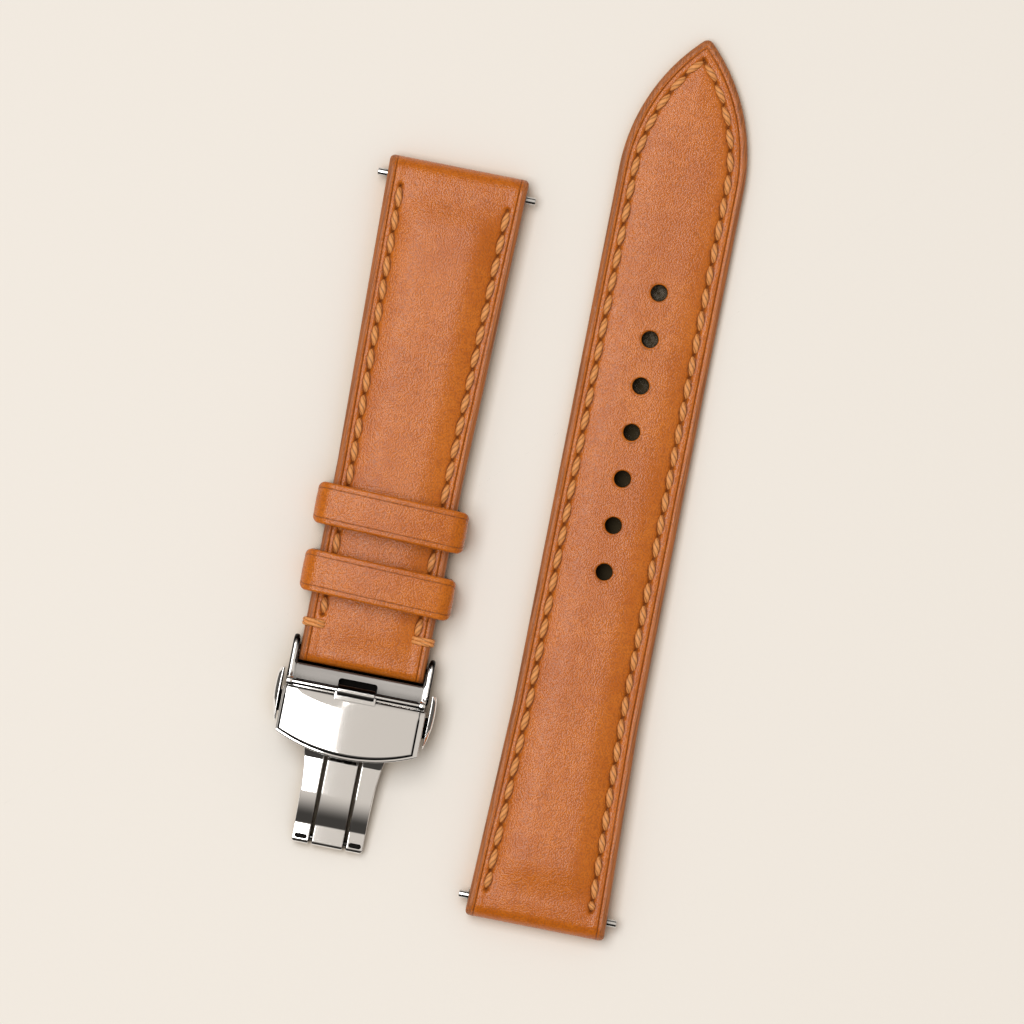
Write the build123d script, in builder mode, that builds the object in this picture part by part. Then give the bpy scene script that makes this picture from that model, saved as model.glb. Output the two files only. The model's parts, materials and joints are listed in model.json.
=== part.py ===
from build123d import *
import math
import os

# Leather watch strap with a folding clasp, laid flat as its two pieces side by side.
# +Z is up, both pieces run along Y, and the origin lies under the middle of the set.
# The long piece points its tail to +Y. The short piece points its clasp to -Y.

# Driving sizes of the set
lug_width = 20.0
clasp_width = 18.0
long_length = 128.0
short_length = 72.8
strap_spacing = 31.0
short_setback = 24.5

# Leather
top_leather = 1.1
lining_leather = 0.9
lug_edge_height = 4.2
tail_edge_height = 1.9
clasp_end_lift = 1.3
lug_crown = 0.7
tail_crown = 0.15
clasp_crown = 0.4
edge_margin = 3.2
crown_seat = 0.2
crown_inset = 0.5
crown_start = 4.5
crown_rise = 5.0
crown_fade = 2.5
crown_shares = [(0.24, 1.0), (0.64, 0.64), (1.0, 0.0)]
long_width_taper = 31.0
short_width_taper = 44.0
long_height_taper = 84.0
short_flat = 12.0
short_height_taper = 31.0
thinnest_filler = 0.3
lug_corner_round = 0.8
tip_length = 20.0
tip_round = 1.0
tip_overrun = 0.36
end_lap = 7.0
filler_start = 5.0
rounding_share = 0.48

# Strap holes
hole_count = 7
hole_diameter = 2.4
hole_pitch = 6.7
first_hole_from_tip = 36.5

# Spring bars
lug_bar_inset = 2.75
clasp_bar_inset = 1.95
lug_bar_diameter = 1.8
clasp_bar_diameter = 1.5
bar_wall = 0.14
bar_tip_diameter = 1.1
clasp_tip_diameter = 0.8
bar_tip_reach = 1.35
bar_head_length = 1.2
bar_edge_gap = 0.03
bar_running_gap = 0.03
bar_spring_wire = 0.15
bar_spring_gap = 0.05
spring_sides = 12

# Keepers
keeper_wall = 1.1
keeper_length = 5.9
keeper_side_gap = 0.8
keeper_top_gap = 2.1
keeper_under_gap = 0.2
keeper_corner = 1.7
fixed_keeper_from_end = 12.7
free_keeper_from_end = 22.3

# Clasp
sheet = 0.8
running_gap = 0.1
slide_gap = 0.05
arm_gap = 0.35
arm_root_width = 1.4
arm_tip_radius = 1.75
arm_root_start = 0.4
arm_root_end = 2.9
plate_start = 0.25
plate_end = 2.45
plate_corner_round = 0.5
plate_bevel = 0.2
notch_width = 5.6
notch_depth = 1.2
notch_round = 0.45
wing_level = 1.2
wing_end = 9.0
wing_corner_round = 1.5
blade_end_radius = 1.0
blade_pin_from_end = 24.3
blade_crease_from_end = 22.5
blade_width = 10.2
blade_root_width = 11.9
blade_flare_start = 19.0
blade_corner_round = 0.4
blade_strip_width = 4.4
blade_groove = 0.5
blade_root_level = 2.95
blade_root_from_end = 13.0
blade_bow = 0.3
blade_ramp_start = 10.6
blade_pin_diameter = 0.8
blade_slot_length = 1.8
blade_slot_width = 0.65
blade_slot_depth = 0.4
floor_gap = 0.8
floor_end = 11.0
tunnel_start = 3.1
tunnel_end = 9.6
tunnel_side_gap = 0.1
tunnel_height = 3.1
rod_diameter = 0.8
rod_from_end = 2.9
ear_radius = 0.7
knuckle_radius = 0.8
knuckle_width = 5.3
knuckle_root_width = 5.9
cover_overhang = 1.2
cover_start = 3.65
cover_side_end = 10.1
cover_end = 12.4
cover_bow = 0.15
cover_bevel = 0.5
cover_bevel_drop = 0.3
cover_seat = 0.05
post_diameter = 2.0
post_shank_diameter = 1.2
post_height = 2.3
post_from_end = 9.3
button_bulge = 1.3
button_gap = 0.4
button_start = 1.3
button_peak = 4.0
button_end = 8.8
button_base = 2.0
button_height = 3.8
button_nose = 0.65
button_round = 0.25
stem_start = 4.5
stem_end = 7.5
stem_reach = 3.7
catch_width = 1.2
catch_inset = 2.05
catch_depth = 1.5
press_travel = 0.4
window_gap = 0.1
spring_stop_width = 2.4
spring_stop_length = 1.6
button_spring_diameter = 0.66
button_spring_wire = 0.12

# Places worked out from the sizes
cover_width = clasp_width + 2 * cover_overhang
tip_extent = lug_width / 2 + bar_tip_reach
button_extent = cover_width / 2 + button_bulge
long_x = (strap_spacing + button_extent - tip_extent) / 2
short_x = long_x - strap_spacing
short_lug_y = long_length / 2 - short_setback
long_plane = Plane(origin=(long_x, -long_length / 2, 0), x_dir=(1, 0, 0), z_dir=(0, 0, 1))
short_plane = Plane(origin=(short_x, short_lug_y, 0), x_dir=(-1, 0, 0), z_dir=(0, 0, 1))
clasp_plane = Plane(
    origin=(short_x, short_lug_y - short_length, 0), x_dir=(-1, 0, 0), z_dir=(0, 0, 1)
)
lug_bar_level = lug_edge_height / 2
clasp_bar_level = (clasp_end_lift + lug_edge_height) / 2
strap_top = lug_edge_height + lug_crown

os.makedirs("parts", exist_ok=True)


def side_plane(plane, x=0):
    """A lengthwise cut through the strap: its x runs along the strap and its y is up."""
    return Plane(plane.origin, x_dir=plane.y_dir, z_dir=plane.x_dir).offset(x)


def cross_plane(plane, y):
    """A cut across the strap at y: its x runs across the strap and its y is up."""
    return Plane(plane.origin + plane.y_dir * y, x_dir=plane.x_dir, z_dir=-plane.y_dir)


def bar_plane(plane, y, z):
    """The level plane through a cross bar's axis: its x runs along the bar."""
    centre = plane.origin + plane.y_dir * y + plane.z_dir * z
    return Plane(centre, x_dir=plane.x_dir, z_dir=plane.z_dir)


def level_at(points, y):
    """The height of a line of (y, z) points at y."""
    for (y0, z0), (y1, z1) in zip(points, points[1:]):
        if y0 <= y <= y1:
            return z0 + (z1 - z0) * (y - y0) / (y1 - y0)
    return points[-1][1]


def stretch(points, start, end, rise=0):
    """The part of a line of (y, z) points between start and end, raised by rise."""
    inner = [p for p in points if start < p[0] < end]
    line = [(start, level_at(points, start)), *inner, (end, level_at(points, end))]
    return [(y, z + rise) for y, z in line]


def strap_outline(plane, length, width_taper, tip=0):
    """The strap from above: full width at the lugs, tapering, with a pointed or a square end."""
    with BuildSketch(plane) as outline:
        with BuildLine():
            Line((0, 0), (lug_width / 2, 0))
            Line((lug_width / 2, 0), (clasp_width / 2, width_taper))
            Line((clasp_width / 2, width_taper), (clasp_width / 2, length - tip))
            if tip:
                TangentArc((clasp_width / 2, length - tip), (0, length + tip_overrun), tangent=(0, 1))
                Line((0, length + tip_overrun), (0, 0))
            else:
                Polyline((clasp_width / 2, length), (0, length), (0, 0))
        make_face()
        mirror(about=Plane.YZ)
        fillet(outline.vertices().group_by(Axis.Y)[0], radius=lug_corner_round)
        if tip:
            fillet(outline.vertices().sort_by(Axis.Y)[-1], radius=tip_round)
    return outline.sketch


def layer(plane, outline, lower, upper, round_start=False, round_end=False):
    """One layer of the strap between two side lines, trimmed to the strap's outline."""
    with BuildPart() as piece:
        with BuildSketch(side_plane(plane)) as profile:
            with BuildLine():
                Polyline(*lower, *reversed(upper), close=True)
            make_face()
            if round_start:
                radius = (upper[0][1] - lower[0][1]) * rounding_share
                fillet(profile.vertices().group_by(Axis.X)[0], radius=radius)
            if round_end:
                radius = (upper[-1][1] - lower[-1][1]) * rounding_share
                fillet(profile.vertices().group_by(Axis.X)[-1], radius=radius)
        extrude(amount=lug_width / 2, both=True)
        extrude(outline, amount=strap_top, mode=Mode.INTERSECT)
    return piece.part


def crown(plane, sections, drop=0, inset=0):
    """The padded swelling between the stitch rows, through (y, base, half width, rise) sections."""
    with BuildPart() as piece:
        for y, level, half, rise in sections:
            with BuildSketch(cross_plane(plane, y)):
                with BuildLine():
                    side = half - inset
                    base = level - drop
                    low = base - crown_seat
                    right = [(side * share, base + rise * lift) for share, lift in crown_shares]
                    left = [(-x, z) for x, z in reversed(right)]
                    Polyline((-side, low), *left, *right, (side, low), close=True)
                make_face()
        loft(ruled=True)
    return piece.part


def save(piece, name):
    """Labels a finished piece and writes it under its own name."""
    piece.label = name
    export_step(piece, f"parts/{name}.step")


# Outline and side lines of each strap
long_outline = strap_outline(long_plane, long_length, long_width_taper, tip_length)
short_outline = strap_outline(short_plane, short_length, short_width_taper)
long_under = [(0, 0), (long_length + tip_overrun, 0)]
long_edge_top = [
    (0, lug_edge_height),
    (long_height_taper, tail_edge_height),
    (long_length + tip_overrun, tail_edge_height),
]
short_under = [
    (0, 0),
    (short_flat, 0),
    (short_height_taper, clasp_end_lift),
    (short_length, clasp_end_lift),
]
short_edge_top = [(0, lug_edge_height), (short_length, lug_edge_height)]


def crown_sections(edge_top, width_taper, end, end_rise, fade=0):
    """Sections of the swelling: a short rise behind the bar, a long slope and a fade at the far end."""
    taper = [(0, lug_width / 2), (width_taper, clasp_width / 2), (long_length, clasp_width / 2)]
    full = crown_start + crown_rise
    slope = [(full, lug_crown), (end, end_rise)]
    kinks = [y for y in (width_taper, edge_top[1][0]) if full < y < end]
    places = [(crown_start, lug_crown, lug_crown - tail_crown)]
    places += [(y, level_at(slope, y), 0) for y in (full, *kinks, end)]
    if fade:
        places.append((end + fade, end_rise, end_rise))
    return [
        (y, level_at(edge_top, y) - sunk, level_at(taper, y) - edge_margin, rise)
        for y, rise, sunk in places
    ]


long_crown_end = long_length - tip_length
short_crown_end = short_length - crown_start
long_crown = crown_sections(long_edge_top, long_width_taper, long_crown_end, tail_crown, crown_fade)
short_crown = crown_sections(short_edge_top, short_width_taper, short_crown_end, clasp_crown, crown_fade)


def strap_filler(plane, outline, under, edge_top, start, end, sections):
    """The wedge of padding between the lining and the top leather, with the crown on it."""
    with BuildPart() as filler:
        lower = stretch(under, start, end, lining_leather)
        upper = stretch(edge_top, start, end, -top_leather)
        add(layer(plane, outline, lower, upper))
        add(crown(plane, sections, top_leather, crown_inset))
    return filler.part


# Where the long filler has thinned out under the top leather
filler_drop = lug_edge_height - tail_edge_height
filler_depth = lug_edge_height - top_leather - lining_leather - thinnest_filler
long_filler_end = long_height_taper * filler_depth / filler_drop
long_filler_sections = crown_sections(long_edge_top, long_width_taper, long_filler_end, tail_crown)

hole_places = [(0, long_length - first_hole_from_tip - n * hole_pitch) for n in range(hole_count)]

# The row of holes in the tail, and the bore for the bar at the lugs
with BuildPart() as tail_holes:
    with BuildSketch(long_plane):
        with Locations(*hole_places):
            Circle(hole_diameter / 2)
    extrude(amount=strap_top)
with BuildPart() as long_bore:
    with BuildSketch(side_plane(long_plane)):
        with Locations((lug_bar_inset, lug_bar_level)):
            Circle(lug_bar_diameter / 2)
    extrude(amount=lug_width, both=True)

# Long strap, layer by layer
long_wedge = strap_filler(
    long_plane,
    long_outline,
    long_under,
    long_edge_top,
    filler_start,
    long_filler_end,
    long_filler_sections,
)
with BuildPart() as long_filler:
    add(long_wedge)
    add(tail_holes.part, mode=Mode.SUBTRACT)
with BuildPart() as long_lining:
    lower = stretch(long_under, end_lap, long_length)
    add(layer(long_plane, long_outline, lower, [(y, z + lining_leather) for y, z in lower]))
    add(tail_holes.part, mode=Mode.SUBTRACT)
with BuildPart() as long_top:
    add(layer(long_plane, long_outline, long_under, long_edge_top, round_start=True))
    add(crown(long_plane, long_crown))
    add(long_wedge, mode=Mode.SUBTRACT)
    add(long_lining.part, mode=Mode.SUBTRACT)
    add(long_bore.part, mode=Mode.SUBTRACT)
    add(tail_holes.part, mode=Mode.SUBTRACT)
save(long_filler.part, "long_filler")
save(long_lining.part, "long_lining")
save(long_top.part, "long_top_leather")

# Short strap, layer by layer
short_filler = strap_filler(
    short_plane,
    short_outline,
    short_under,
    short_edge_top,
    filler_start,
    short_crown_end,
    crown_sections(short_edge_top, short_width_taper, short_crown_end, clasp_crown),
)
with BuildPart() as short_lining:
    lower = stretch(short_under, end_lap, short_length - end_lap)
    add(layer(short_plane, short_outline, lower, [(y, z + lining_leather) for y, z in lower]))
with BuildPart() as short_top:
    add(layer(short_plane, short_outline, short_under, short_edge_top, round_start=True, round_end=True))
    add(crown(short_plane, short_crown))
    add(short_filler, mode=Mode.SUBTRACT)
    add(short_lining.part, mode=Mode.SUBTRACT)
    with BuildSketch(side_plane(short_plane)):
        with Locations((lug_bar_inset, lug_bar_level)):
            Circle(lug_bar_diameter / 2)
        with Locations((short_length - clasp_bar_inset, clasp_bar_level)):
            Circle(clasp_bar_diameter / 2)
    extrude(amount=lug_width, both=True, mode=Mode.SUBTRACT)
save(short_filler, "short_filler")
save(short_lining.part, "short_lining")
save(short_top.part, "short_top_leather")


def keeper(plane, y, bottom, width, name):
    """A closed leather loop round the strap, with room over it for the tail."""
    top = strap_top + keeper_top_gap + keeper_wall
    height = top - bottom
    with BuildPart() as loop:
        with BuildSketch(cross_plane(plane, y)):
            with Locations((0, bottom + height / 2)):
                RectangleRounded(width, height, keeper_corner)
                RectangleRounded(
                    width - 2 * keeper_wall,
                    height - 2 * keeper_wall,
                    keeper_corner - keeper_wall,
                    mode=Mode.SUBTRACT,
                )
        extrude(amount=keeper_length / 2, both=True)
    save(loop.part, name)


keeper_width = clasp_width + 2 * (keeper_side_gap + keeper_wall)
keeper_bottom = clasp_end_lift - keeper_wall
keeper(short_plane, short_length - fixed_keeper_from_end, keeper_bottom, keeper_width, "fixed_keeper")
free_bottom = keeper_bottom - keeper_under_gap
keeper(short_plane, short_length - free_keeper_from_end, free_bottom, keeper_width, "free_keeper")


def spring_bar(plane, tube_half, tube_diameter, tip_diameter, tip_end, name):
    """A spring bar: a tube with turned-in ends, a sprung tip in each and the spring between them."""
    tube_radius = tube_diameter / 2
    bore = tube_radius - bar_wall
    tip_radius = tip_diameter / 2
    lip_start = tube_half - bar_wall
    head_start = lip_start - bar_head_length
    axis = Axis(plane.origin, plane.x_dir)
    with BuildPart() as tube:
        with BuildSketch(plane):
            with BuildLine():
                Polyline(
                    (0, bore),
                    (lip_start, bore),
                    (lip_start, tip_radius + bar_running_gap),
                    (tube_half, tip_radius + bar_running_gap),
                    (tube_half, tube_radius),
                    (0, tube_radius),
                    close=True,
                )
            make_face()
            mirror(about=Plane.YZ)
        revolve(axis=axis)
    save(tube.part, f"{name}_tube")
    with BuildPart() as tip:
        with BuildSketch(plane):
            with BuildLine():
                Polyline(
                    (head_start, 0),
                    (head_start, bore - bar_running_gap),
                    (lip_start - bar_running_gap, bore - bar_running_gap),
                    (lip_start - bar_running_gap, tip_radius),
                    (tip_end, tip_radius),
                    (tip_end, 0),
                    close=True,
                )
            make_face()
        revolve(axis=axis)
    far_tip = mirror(tip.part, about=Plane(plane.origin, z_dir=plane.x_dir))
    left, right = sorted((tip.part, far_tip), key=lambda piece: piece.center().X)
    save(left, f"{name}_tip_left")
    save(right, f"{name}_tip_right")
    with BuildPart() as spring:
        with BuildSketch(Plane(plane.origin, z_dir=plane.x_dir)):
            outer = bore - bar_spring_gap
            RegularPolygon(outer, spring_sides)
            RegularPolygon(outer - bar_spring_wire, spring_sides, mode=Mode.SUBTRACT)
        extrude(amount=head_start - bar_spring_gap, both=True)
    save(spring.part, f"{name}_spring")


lug_tube_half = lug_width / 2 - bar_edge_gap
clasp_tube_half = clasp_width / 2 - bar_edge_gap
arm_inner = clasp_width / 2 + arm_gap
arm_outer = arm_inner + sheet
lug_bar_sizes = (lug_tube_half, lug_bar_diameter, bar_tip_diameter, tip_extent)
clasp_bar_sizes = (clasp_tube_half, clasp_bar_diameter, clasp_tip_diameter, arm_outer - slide_gap)
spring_bar(bar_plane(long_plane, lug_bar_inset, lug_bar_level), *lug_bar_sizes, "long_bar")
spring_bar(bar_plane(short_plane, lug_bar_inset, lug_bar_level), *lug_bar_sizes, "short_bar")
spring_bar(bar_plane(clasp_plane, -clasp_bar_inset, clasp_bar_level), *clasp_bar_sizes, "clasp_bar")


# Levels and places of the clasp, from the leather's end and the table
wing_top = wing_level + sheet
floor_under = wing_top + floor_gap
floor_top = floor_under + sheet
tunnel_inner = clasp_width / 2 + tunnel_side_gap
tunnel_outer = tunnel_inner + sheet
wall_top = floor_top + tunnel_height
cover_under = wall_top + cover_seat
rod_level = cover_under + sheet / 2
blade_level = 2 * blade_end_radius
blade_end = blade_pin_from_end + blade_end_radius
strip_half = blade_strip_width / 2
rail_inner = strip_half + blade_groove
clasp_side = side_plane(clasp_plane)
button_inner = cover_width / 2 + button_gap
stem_level = wing_top + slide_gap
stem_thickness = floor_gap - 2 * slide_gap
stem_middle = (stem_start + stem_end) / 2
catch_middle = tunnel_inner - catch_inset - catch_width / 2
window_middle = catch_middle - press_travel / 2
window_width = catch_width + press_travel + 2 * window_gap
window_length = stem_end - stem_start + 2 * window_gap


def lowered(point):
    """The point of the sheet's underside below one of its top side."""
    return point[0], point[1] - sheet


def bent_sheet(plane, points, half_width):
    """Sheet bent along a side line that ends in the bowed blade, with a barrel round the pin."""
    root = (blade_root_from_end, blade_root_level)
    crease = (blade_crease_from_end, blade_level)
    middle = ((root[0] + crease[0]) / 2, (root[1] + crease[1]) / 2 + blade_bow)
    end = (blade_pin_from_end, blade_level)
    with BuildPart() as bent:
        with BuildSketch(plane):
            with BuildLine():
                Polyline(*points, root)
                ThreePointArc(root, middle, crease)
                Polyline(crease, end, lowered(end))
                Line(lowered(end), lowered(crease))
                ThreePointArc(lowered(crease), lowered(middle), lowered(root))
                Polyline(lowered(root), *[lowered(point) for point in reversed(points)], points[0])
            make_face()
            with Locations((blade_pin_from_end, blade_end_radius)):
                Circle(blade_end_radius)
        extrude(amount=half_width, both=True)
    return bent.part


def pin_hole(radius):
    """A bore through the blade's end barrel."""
    with BuildPart() as bore:
        with BuildSketch(clasp_side):
            with Locations((blade_pin_from_end, blade_end_radius)):
                Circle(radius)
        extrude(amount=lug_width, both=True)
    return bore.part


def cross_plate():
    """The plate between the arms, notched for the knuckle, with rounded corners beside the leather."""
    with BuildPart() as plate:
        with BuildSketch(clasp_plane.offset(lug_edge_height - sheet)) as outline:
            with Locations((0, (plate_start + plate_end) / 2)):
                Rectangle(2 * arm_inner, plate_end - plate_start)
            with Locations((0, plate_end - notch_depth / 2)):
                Rectangle(notch_width, notch_depth, mode=Mode.SUBTRACT)
            fillet(outline.vertices().group_by(Axis.Y)[1], radius=notch_round)
            side = arm_inner - plate_corner_round / 2
            end = plate_start - plate_corner_round / 2
            with Locations((-side, end), (side, end)):
                Rectangle(plate_corner_round, plate_corner_round)
            side = arm_inner - plate_corner_round
            end = plate_start - plate_corner_round
            with Locations((-side, end), (side, end)):
                Circle(plate_corner_round, mode=Mode.SUBTRACT)
        extrude(amount=sheet)
        leather_edge = plate.edges().filter_by(Axis.X).group_by(Axis.Z)[-1].sort_by(Axis.Y)[-1]
        chamfer(leather_edge, length=plate_bevel)
    return plate.part


# Lower half of the clasp: arms on the strap's bar, notched cross plate, wings and the middle blade
with BuildPart() as clasp_base:
    root_place = ((arm_root_start + arm_root_end) / 2, (wing_level + lug_edge_height) / 2)
    with BuildSketch(clasp_side.offset(arm_inner)):
        with Locations((-clasp_bar_inset, clasp_bar_level)):
            Circle(arm_tip_radius)
        with Locations(root_place):
            Rectangle(arm_root_end - arm_root_start, lug_edge_height - wing_level)
        make_hull()
        with Locations((-clasp_bar_inset, clasp_bar_level)):
            Circle(clasp_tip_diameter / 2 + bar_running_gap, mode=Mode.SUBTRACT)
    extrude(amount=sheet)
    with BuildSketch(clasp_side.offset(arm_outer - arm_root_width)):
        with Locations(root_place):
            Rectangle(arm_root_end - arm_root_start, lug_edge_height - wing_level)
    extrude(amount=arm_root_width)
    mirror(about=clasp_side)
    add(cross_plate())
    with BuildSketch(clasp_plane.offset(wing_level)) as wings:
        with Locations((0, (arm_root_start + wing_end) / 2)):
            Rectangle(2 * (tunnel_inner - running_gap * 2), wing_end - arm_root_start)
        fillet(wings.vertices().group_by(Axis.Y)[-1], radius=wing_corner_round)
        with Locations((-window_middle, stem_middle), (window_middle, stem_middle)):
            Rectangle(window_width, window_length, mode=Mode.SUBTRACT)
    extrude(amount=sheet)
    strip_points = [(wing_end - sheet, wing_top), (blade_ramp_start, wing_top)]
    add(bent_sheet(clasp_side, strip_points, strip_half))
    add(pin_hole(blade_pin_diameter / 2 + bar_running_gap), mode=Mode.SUBTRACT)
save(clasp_base.part, "clasp_base")

# Upper half of the clasp: floor and tunnel walls for the tail, and the two outer rails of the blade
with BuildPart() as clasp_fork:
    fork_points = [(tunnel_start, floor_top), (floor_end, floor_top)]
    add(bent_sheet(clasp_side, fork_points, tunnel_inner))
    with BuildSketch(clasp_plane) as fork_outline:
        with BuildLine():
            root = (blade_root_width / 2, floor_end)
            flare = (blade_width / 2, blade_flare_start)
            Polyline((0, tunnel_start), (tunnel_inner, tunnel_start), (tunnel_inner, tunnel_end), root)
            TangentArc(flare, root, tangent=(0, -1))
            Polyline(flare, (blade_width / 2, blade_end), (0, blade_end), (0, tunnel_start))
        make_face()
        mirror(about=Plane.YZ)
        fillet(fork_outline.vertices().group_by(Axis.Y)[-1], radius=blade_corner_round)
        with Locations((0, (floor_end + blade_end) / 2 + blade_end_radius)):
            Rectangle(2 * rail_inner, blade_end - floor_end + 2 * blade_end_radius, mode=Mode.SUBTRACT)
    extrude(amount=strap_top, mode=Mode.INTERSECT)
    for side in (-1, 1):
        with BuildSketch(clasp_side.offset(side * tunnel_inner)) as wall:
            with Locations(((tunnel_start + tunnel_end) / 2, (wing_level + wall_top) / 2)):
                Rectangle(tunnel_end - tunnel_start, wall_top - wing_level)
            with Locations((stem_middle, wing_top + floor_gap / 2)):
                Rectangle(window_length, floor_gap, mode=Mode.SUBTRACT)
        extrude(amount=side * sheet)
        with BuildSketch(clasp_side.offset(side * tunnel_inner)):
            with Locations((rod_from_end, rod_level)):
                Circle(ear_radius)
            with Locations((tunnel_start + ear_radius / 4, wall_top - ear_radius)):
                Rectangle(ear_radius / 2, ear_radius)
            make_hull()
        extrude(amount=side * sheet)
        with BuildSketch(clasp_side.offset(side * tunnel_inner)):
            with Locations((rod_from_end, rod_level)):
                Circle(rod_diameter / 2)
        extrude(amount=side * sheet, mode=Mode.SUBTRACT)
    with BuildSketch(clasp_plane.offset(stem_level)):
        with Locations((0, stem_middle)):
            Rectangle(spring_stop_width, spring_stop_length)
    extrude(amount=floor_under - stem_level)
    with BuildSketch(clasp_plane.offset(floor_under)):
        with Locations((0, post_from_end)):
            Circle(post_shank_diameter / 2)
    extrude(amount=sheet, mode=Mode.SUBTRACT)
    add(pin_hole(blade_pin_diameter / 2), mode=Mode.SUBTRACT)
    with BuildSketch(clasp_plane.offset(blade_level)):
        slot_x = (rail_inner + blade_width / 2) / 2
        with Locations((-slot_x, blade_pin_from_end), (slot_x, blade_pin_from_end)):
            SlotOverall(blade_slot_length, blade_slot_width)
    extrude(amount=-blade_slot_depth, mode=Mode.SUBTRACT)
save(clasp_fork.part, "clasp_fork")

# Pin through the end of the three blade strips
with BuildPart() as blade_pin:
    with BuildSketch(side_plane(clasp_plane)):
        with Locations((blade_pin_from_end, blade_end_radius)):
            Circle(blade_pin_diameter / 2)
    extrude(amount=blade_width / 2, both=True)
save(blade_pin.part, "blade_pin")

# Post that goes through a hole of the tail, riveted in the floor
with BuildPart() as post:
    with BuildSketch(clasp_plane.offset(floor_under)):
        with Locations((0, post_from_end)):
            Circle(post_shank_diameter / 2)
    extrude(amount=sheet)
    with BuildSketch(clasp_plane.offset(floor_top)):
        with Locations((0, post_from_end)):
            Circle(post_diameter / 2)
    extrude(amount=post_height)
save(post.part, "strap_post")

# Rod across the tunnel's mouth and the cover that turns on it
with BuildPart() as rod:
    with BuildSketch(clasp_side):
        with Locations((rod_from_end, rod_level)):
            Circle(rod_diameter / 2)
    extrude(amount=tunnel_outer, both=True)
save(rod.part, "cover_rod")


def cover_blank():
    """The cover from above, straight at the rod and arched at the far end, with its bevelled rim."""
    with BuildSketch(clasp_plane.offset(cover_under)) as outline:
        with BuildLine():
            half = cover_width / 2
            left = (-half, cover_side_end)
            right = (half, cover_side_end)
            Polyline(left, (-half, cover_start), (half, cover_start), right)
            ThreePointArc(right, (0, cover_end), left)
        make_face()
    with BuildPart() as blank:
        extrude(outline.sketch, amount=sheet - cover_bevel_drop)
        extrude(
            outline.sketch.moved(Location((0, 0, sheet - cover_bevel_drop))),
            amount=cover_bevel_drop + 2 * cover_bow,
            taper=math.degrees(math.atan2(cover_bevel, cover_bevel_drop)),
        )
    return blank.part


with BuildPart() as cover:
    with BuildSketch(clasp_side):
        with BuildLine():
            middle = (cover_start + cover_end) / 2
            cover_top = cover_under + sheet
            ThreePointArc((cover_start, cover_top), (middle, cover_top + cover_bow), (cover_end, cover_top))
            Polyline((cover_end, cover_top), (cover_end, cover_under), (cover_start, cover_under))
            Line((cover_start, cover_under), (cover_start, cover_top))
        make_face()
    extrude(amount=cover_width / 2, both=True)
    add(cover_blank(), mode=Mode.INTERSECT)
    with BuildSketch(clasp_side):
        with Locations((rod_from_end, rod_level)):
            Circle(knuckle_radius)
    extrude(amount=knuckle_width / 2, both=True)
    with BuildSketch(clasp_side):
        with Locations(((rod_from_end + cover_start + cover_bevel) / 2, rod_level)):
            Rectangle(cover_start + cover_bevel - rod_from_end, sheet)
    extrude(amount=knuckle_root_width / 2, both=True)
    with BuildSketch(clasp_side):
        with Locations((rod_from_end, rod_level)):
            Circle(rod_diameter / 2 + bar_running_gap)
    extrude(amount=knuckle_width, both=True, mode=Mode.SUBTRACT)
save(cover.part, "clasp_cover")


def push_button(side, name):
    """A crescent button outside the wall, its stem under the floor and the catch through the wing."""
    with BuildPart() as button:
        with BuildSketch(clasp_plane.offset(button_base)) as crescent:
            with BuildLine():
                top = (side * (button_inner + button_nose), button_start)
                peak = (side * button_extent, button_peak)
                low = (side * (button_inner + button_round), button_end)
                TangentArc(peak, top, tangent=(0, -1))
                TangentArc(peak, low, tangent=(0, 1))
                Polyline(low, (side * button_inner, button_end), (side * button_inner, button_start), top)
            make_face()
            fillet(crescent.vertices().group_by(Axis.Y)[0], radius=button_round)
        extrude(amount=button_height)
        with BuildSketch(clasp_plane.offset(stem_level)):
            reach = button_inner + button_round - (tunnel_inner - stem_reach)
            with Locations((side * (tunnel_inner - stem_reach + reach / 2), stem_middle)):
                Rectangle(reach, stem_end - stem_start)
        extrude(amount=stem_thickness)
        with BuildSketch(clasp_plane.offset(stem_level)):
            with Locations((side * catch_middle, stem_middle)):
                Rectangle(catch_width, stem_end - stem_start)
        extrude(amount=-catch_depth)
    save(button.part, name)


def button_spring(side, name):
    """The return spring between a button's stem and the stop under the floor."""
    start = spring_stop_width / 2
    end = tunnel_inner - stem_reach
    with BuildPart() as spring:
        with BuildSketch(clasp_side.offset(side * start)):
            with Locations((stem_middle, stem_level + stem_thickness / 2)):
                outer = button_spring_diameter / 2
                RegularPolygon(outer, spring_sides)
                RegularPolygon(outer - button_spring_wire, spring_sides, mode=Mode.SUBTRACT)
        extrude(amount=side * (end - start))
    save(spring.part, name)


for side, name in ((1, "left"), (-1, "right")):
    push_button(side, f"button_{name}")
    button_spring(side, f"button_spring_{name}")
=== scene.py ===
import json
import math

import bmesh
import bpy
import numpy as np
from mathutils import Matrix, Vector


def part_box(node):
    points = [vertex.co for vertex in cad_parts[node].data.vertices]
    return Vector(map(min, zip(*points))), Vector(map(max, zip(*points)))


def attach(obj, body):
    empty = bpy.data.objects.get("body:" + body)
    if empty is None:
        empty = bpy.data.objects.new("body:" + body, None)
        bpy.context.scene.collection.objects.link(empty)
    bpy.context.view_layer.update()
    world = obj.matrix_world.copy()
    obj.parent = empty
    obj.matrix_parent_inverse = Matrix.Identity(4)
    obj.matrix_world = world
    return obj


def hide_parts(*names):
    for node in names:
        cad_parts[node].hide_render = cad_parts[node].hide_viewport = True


# The looks of a leather watch strap with a folding clasp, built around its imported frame.
# Sizes are millimetres in each strap's own frame: u across, v along from the lug end, z up.

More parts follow.
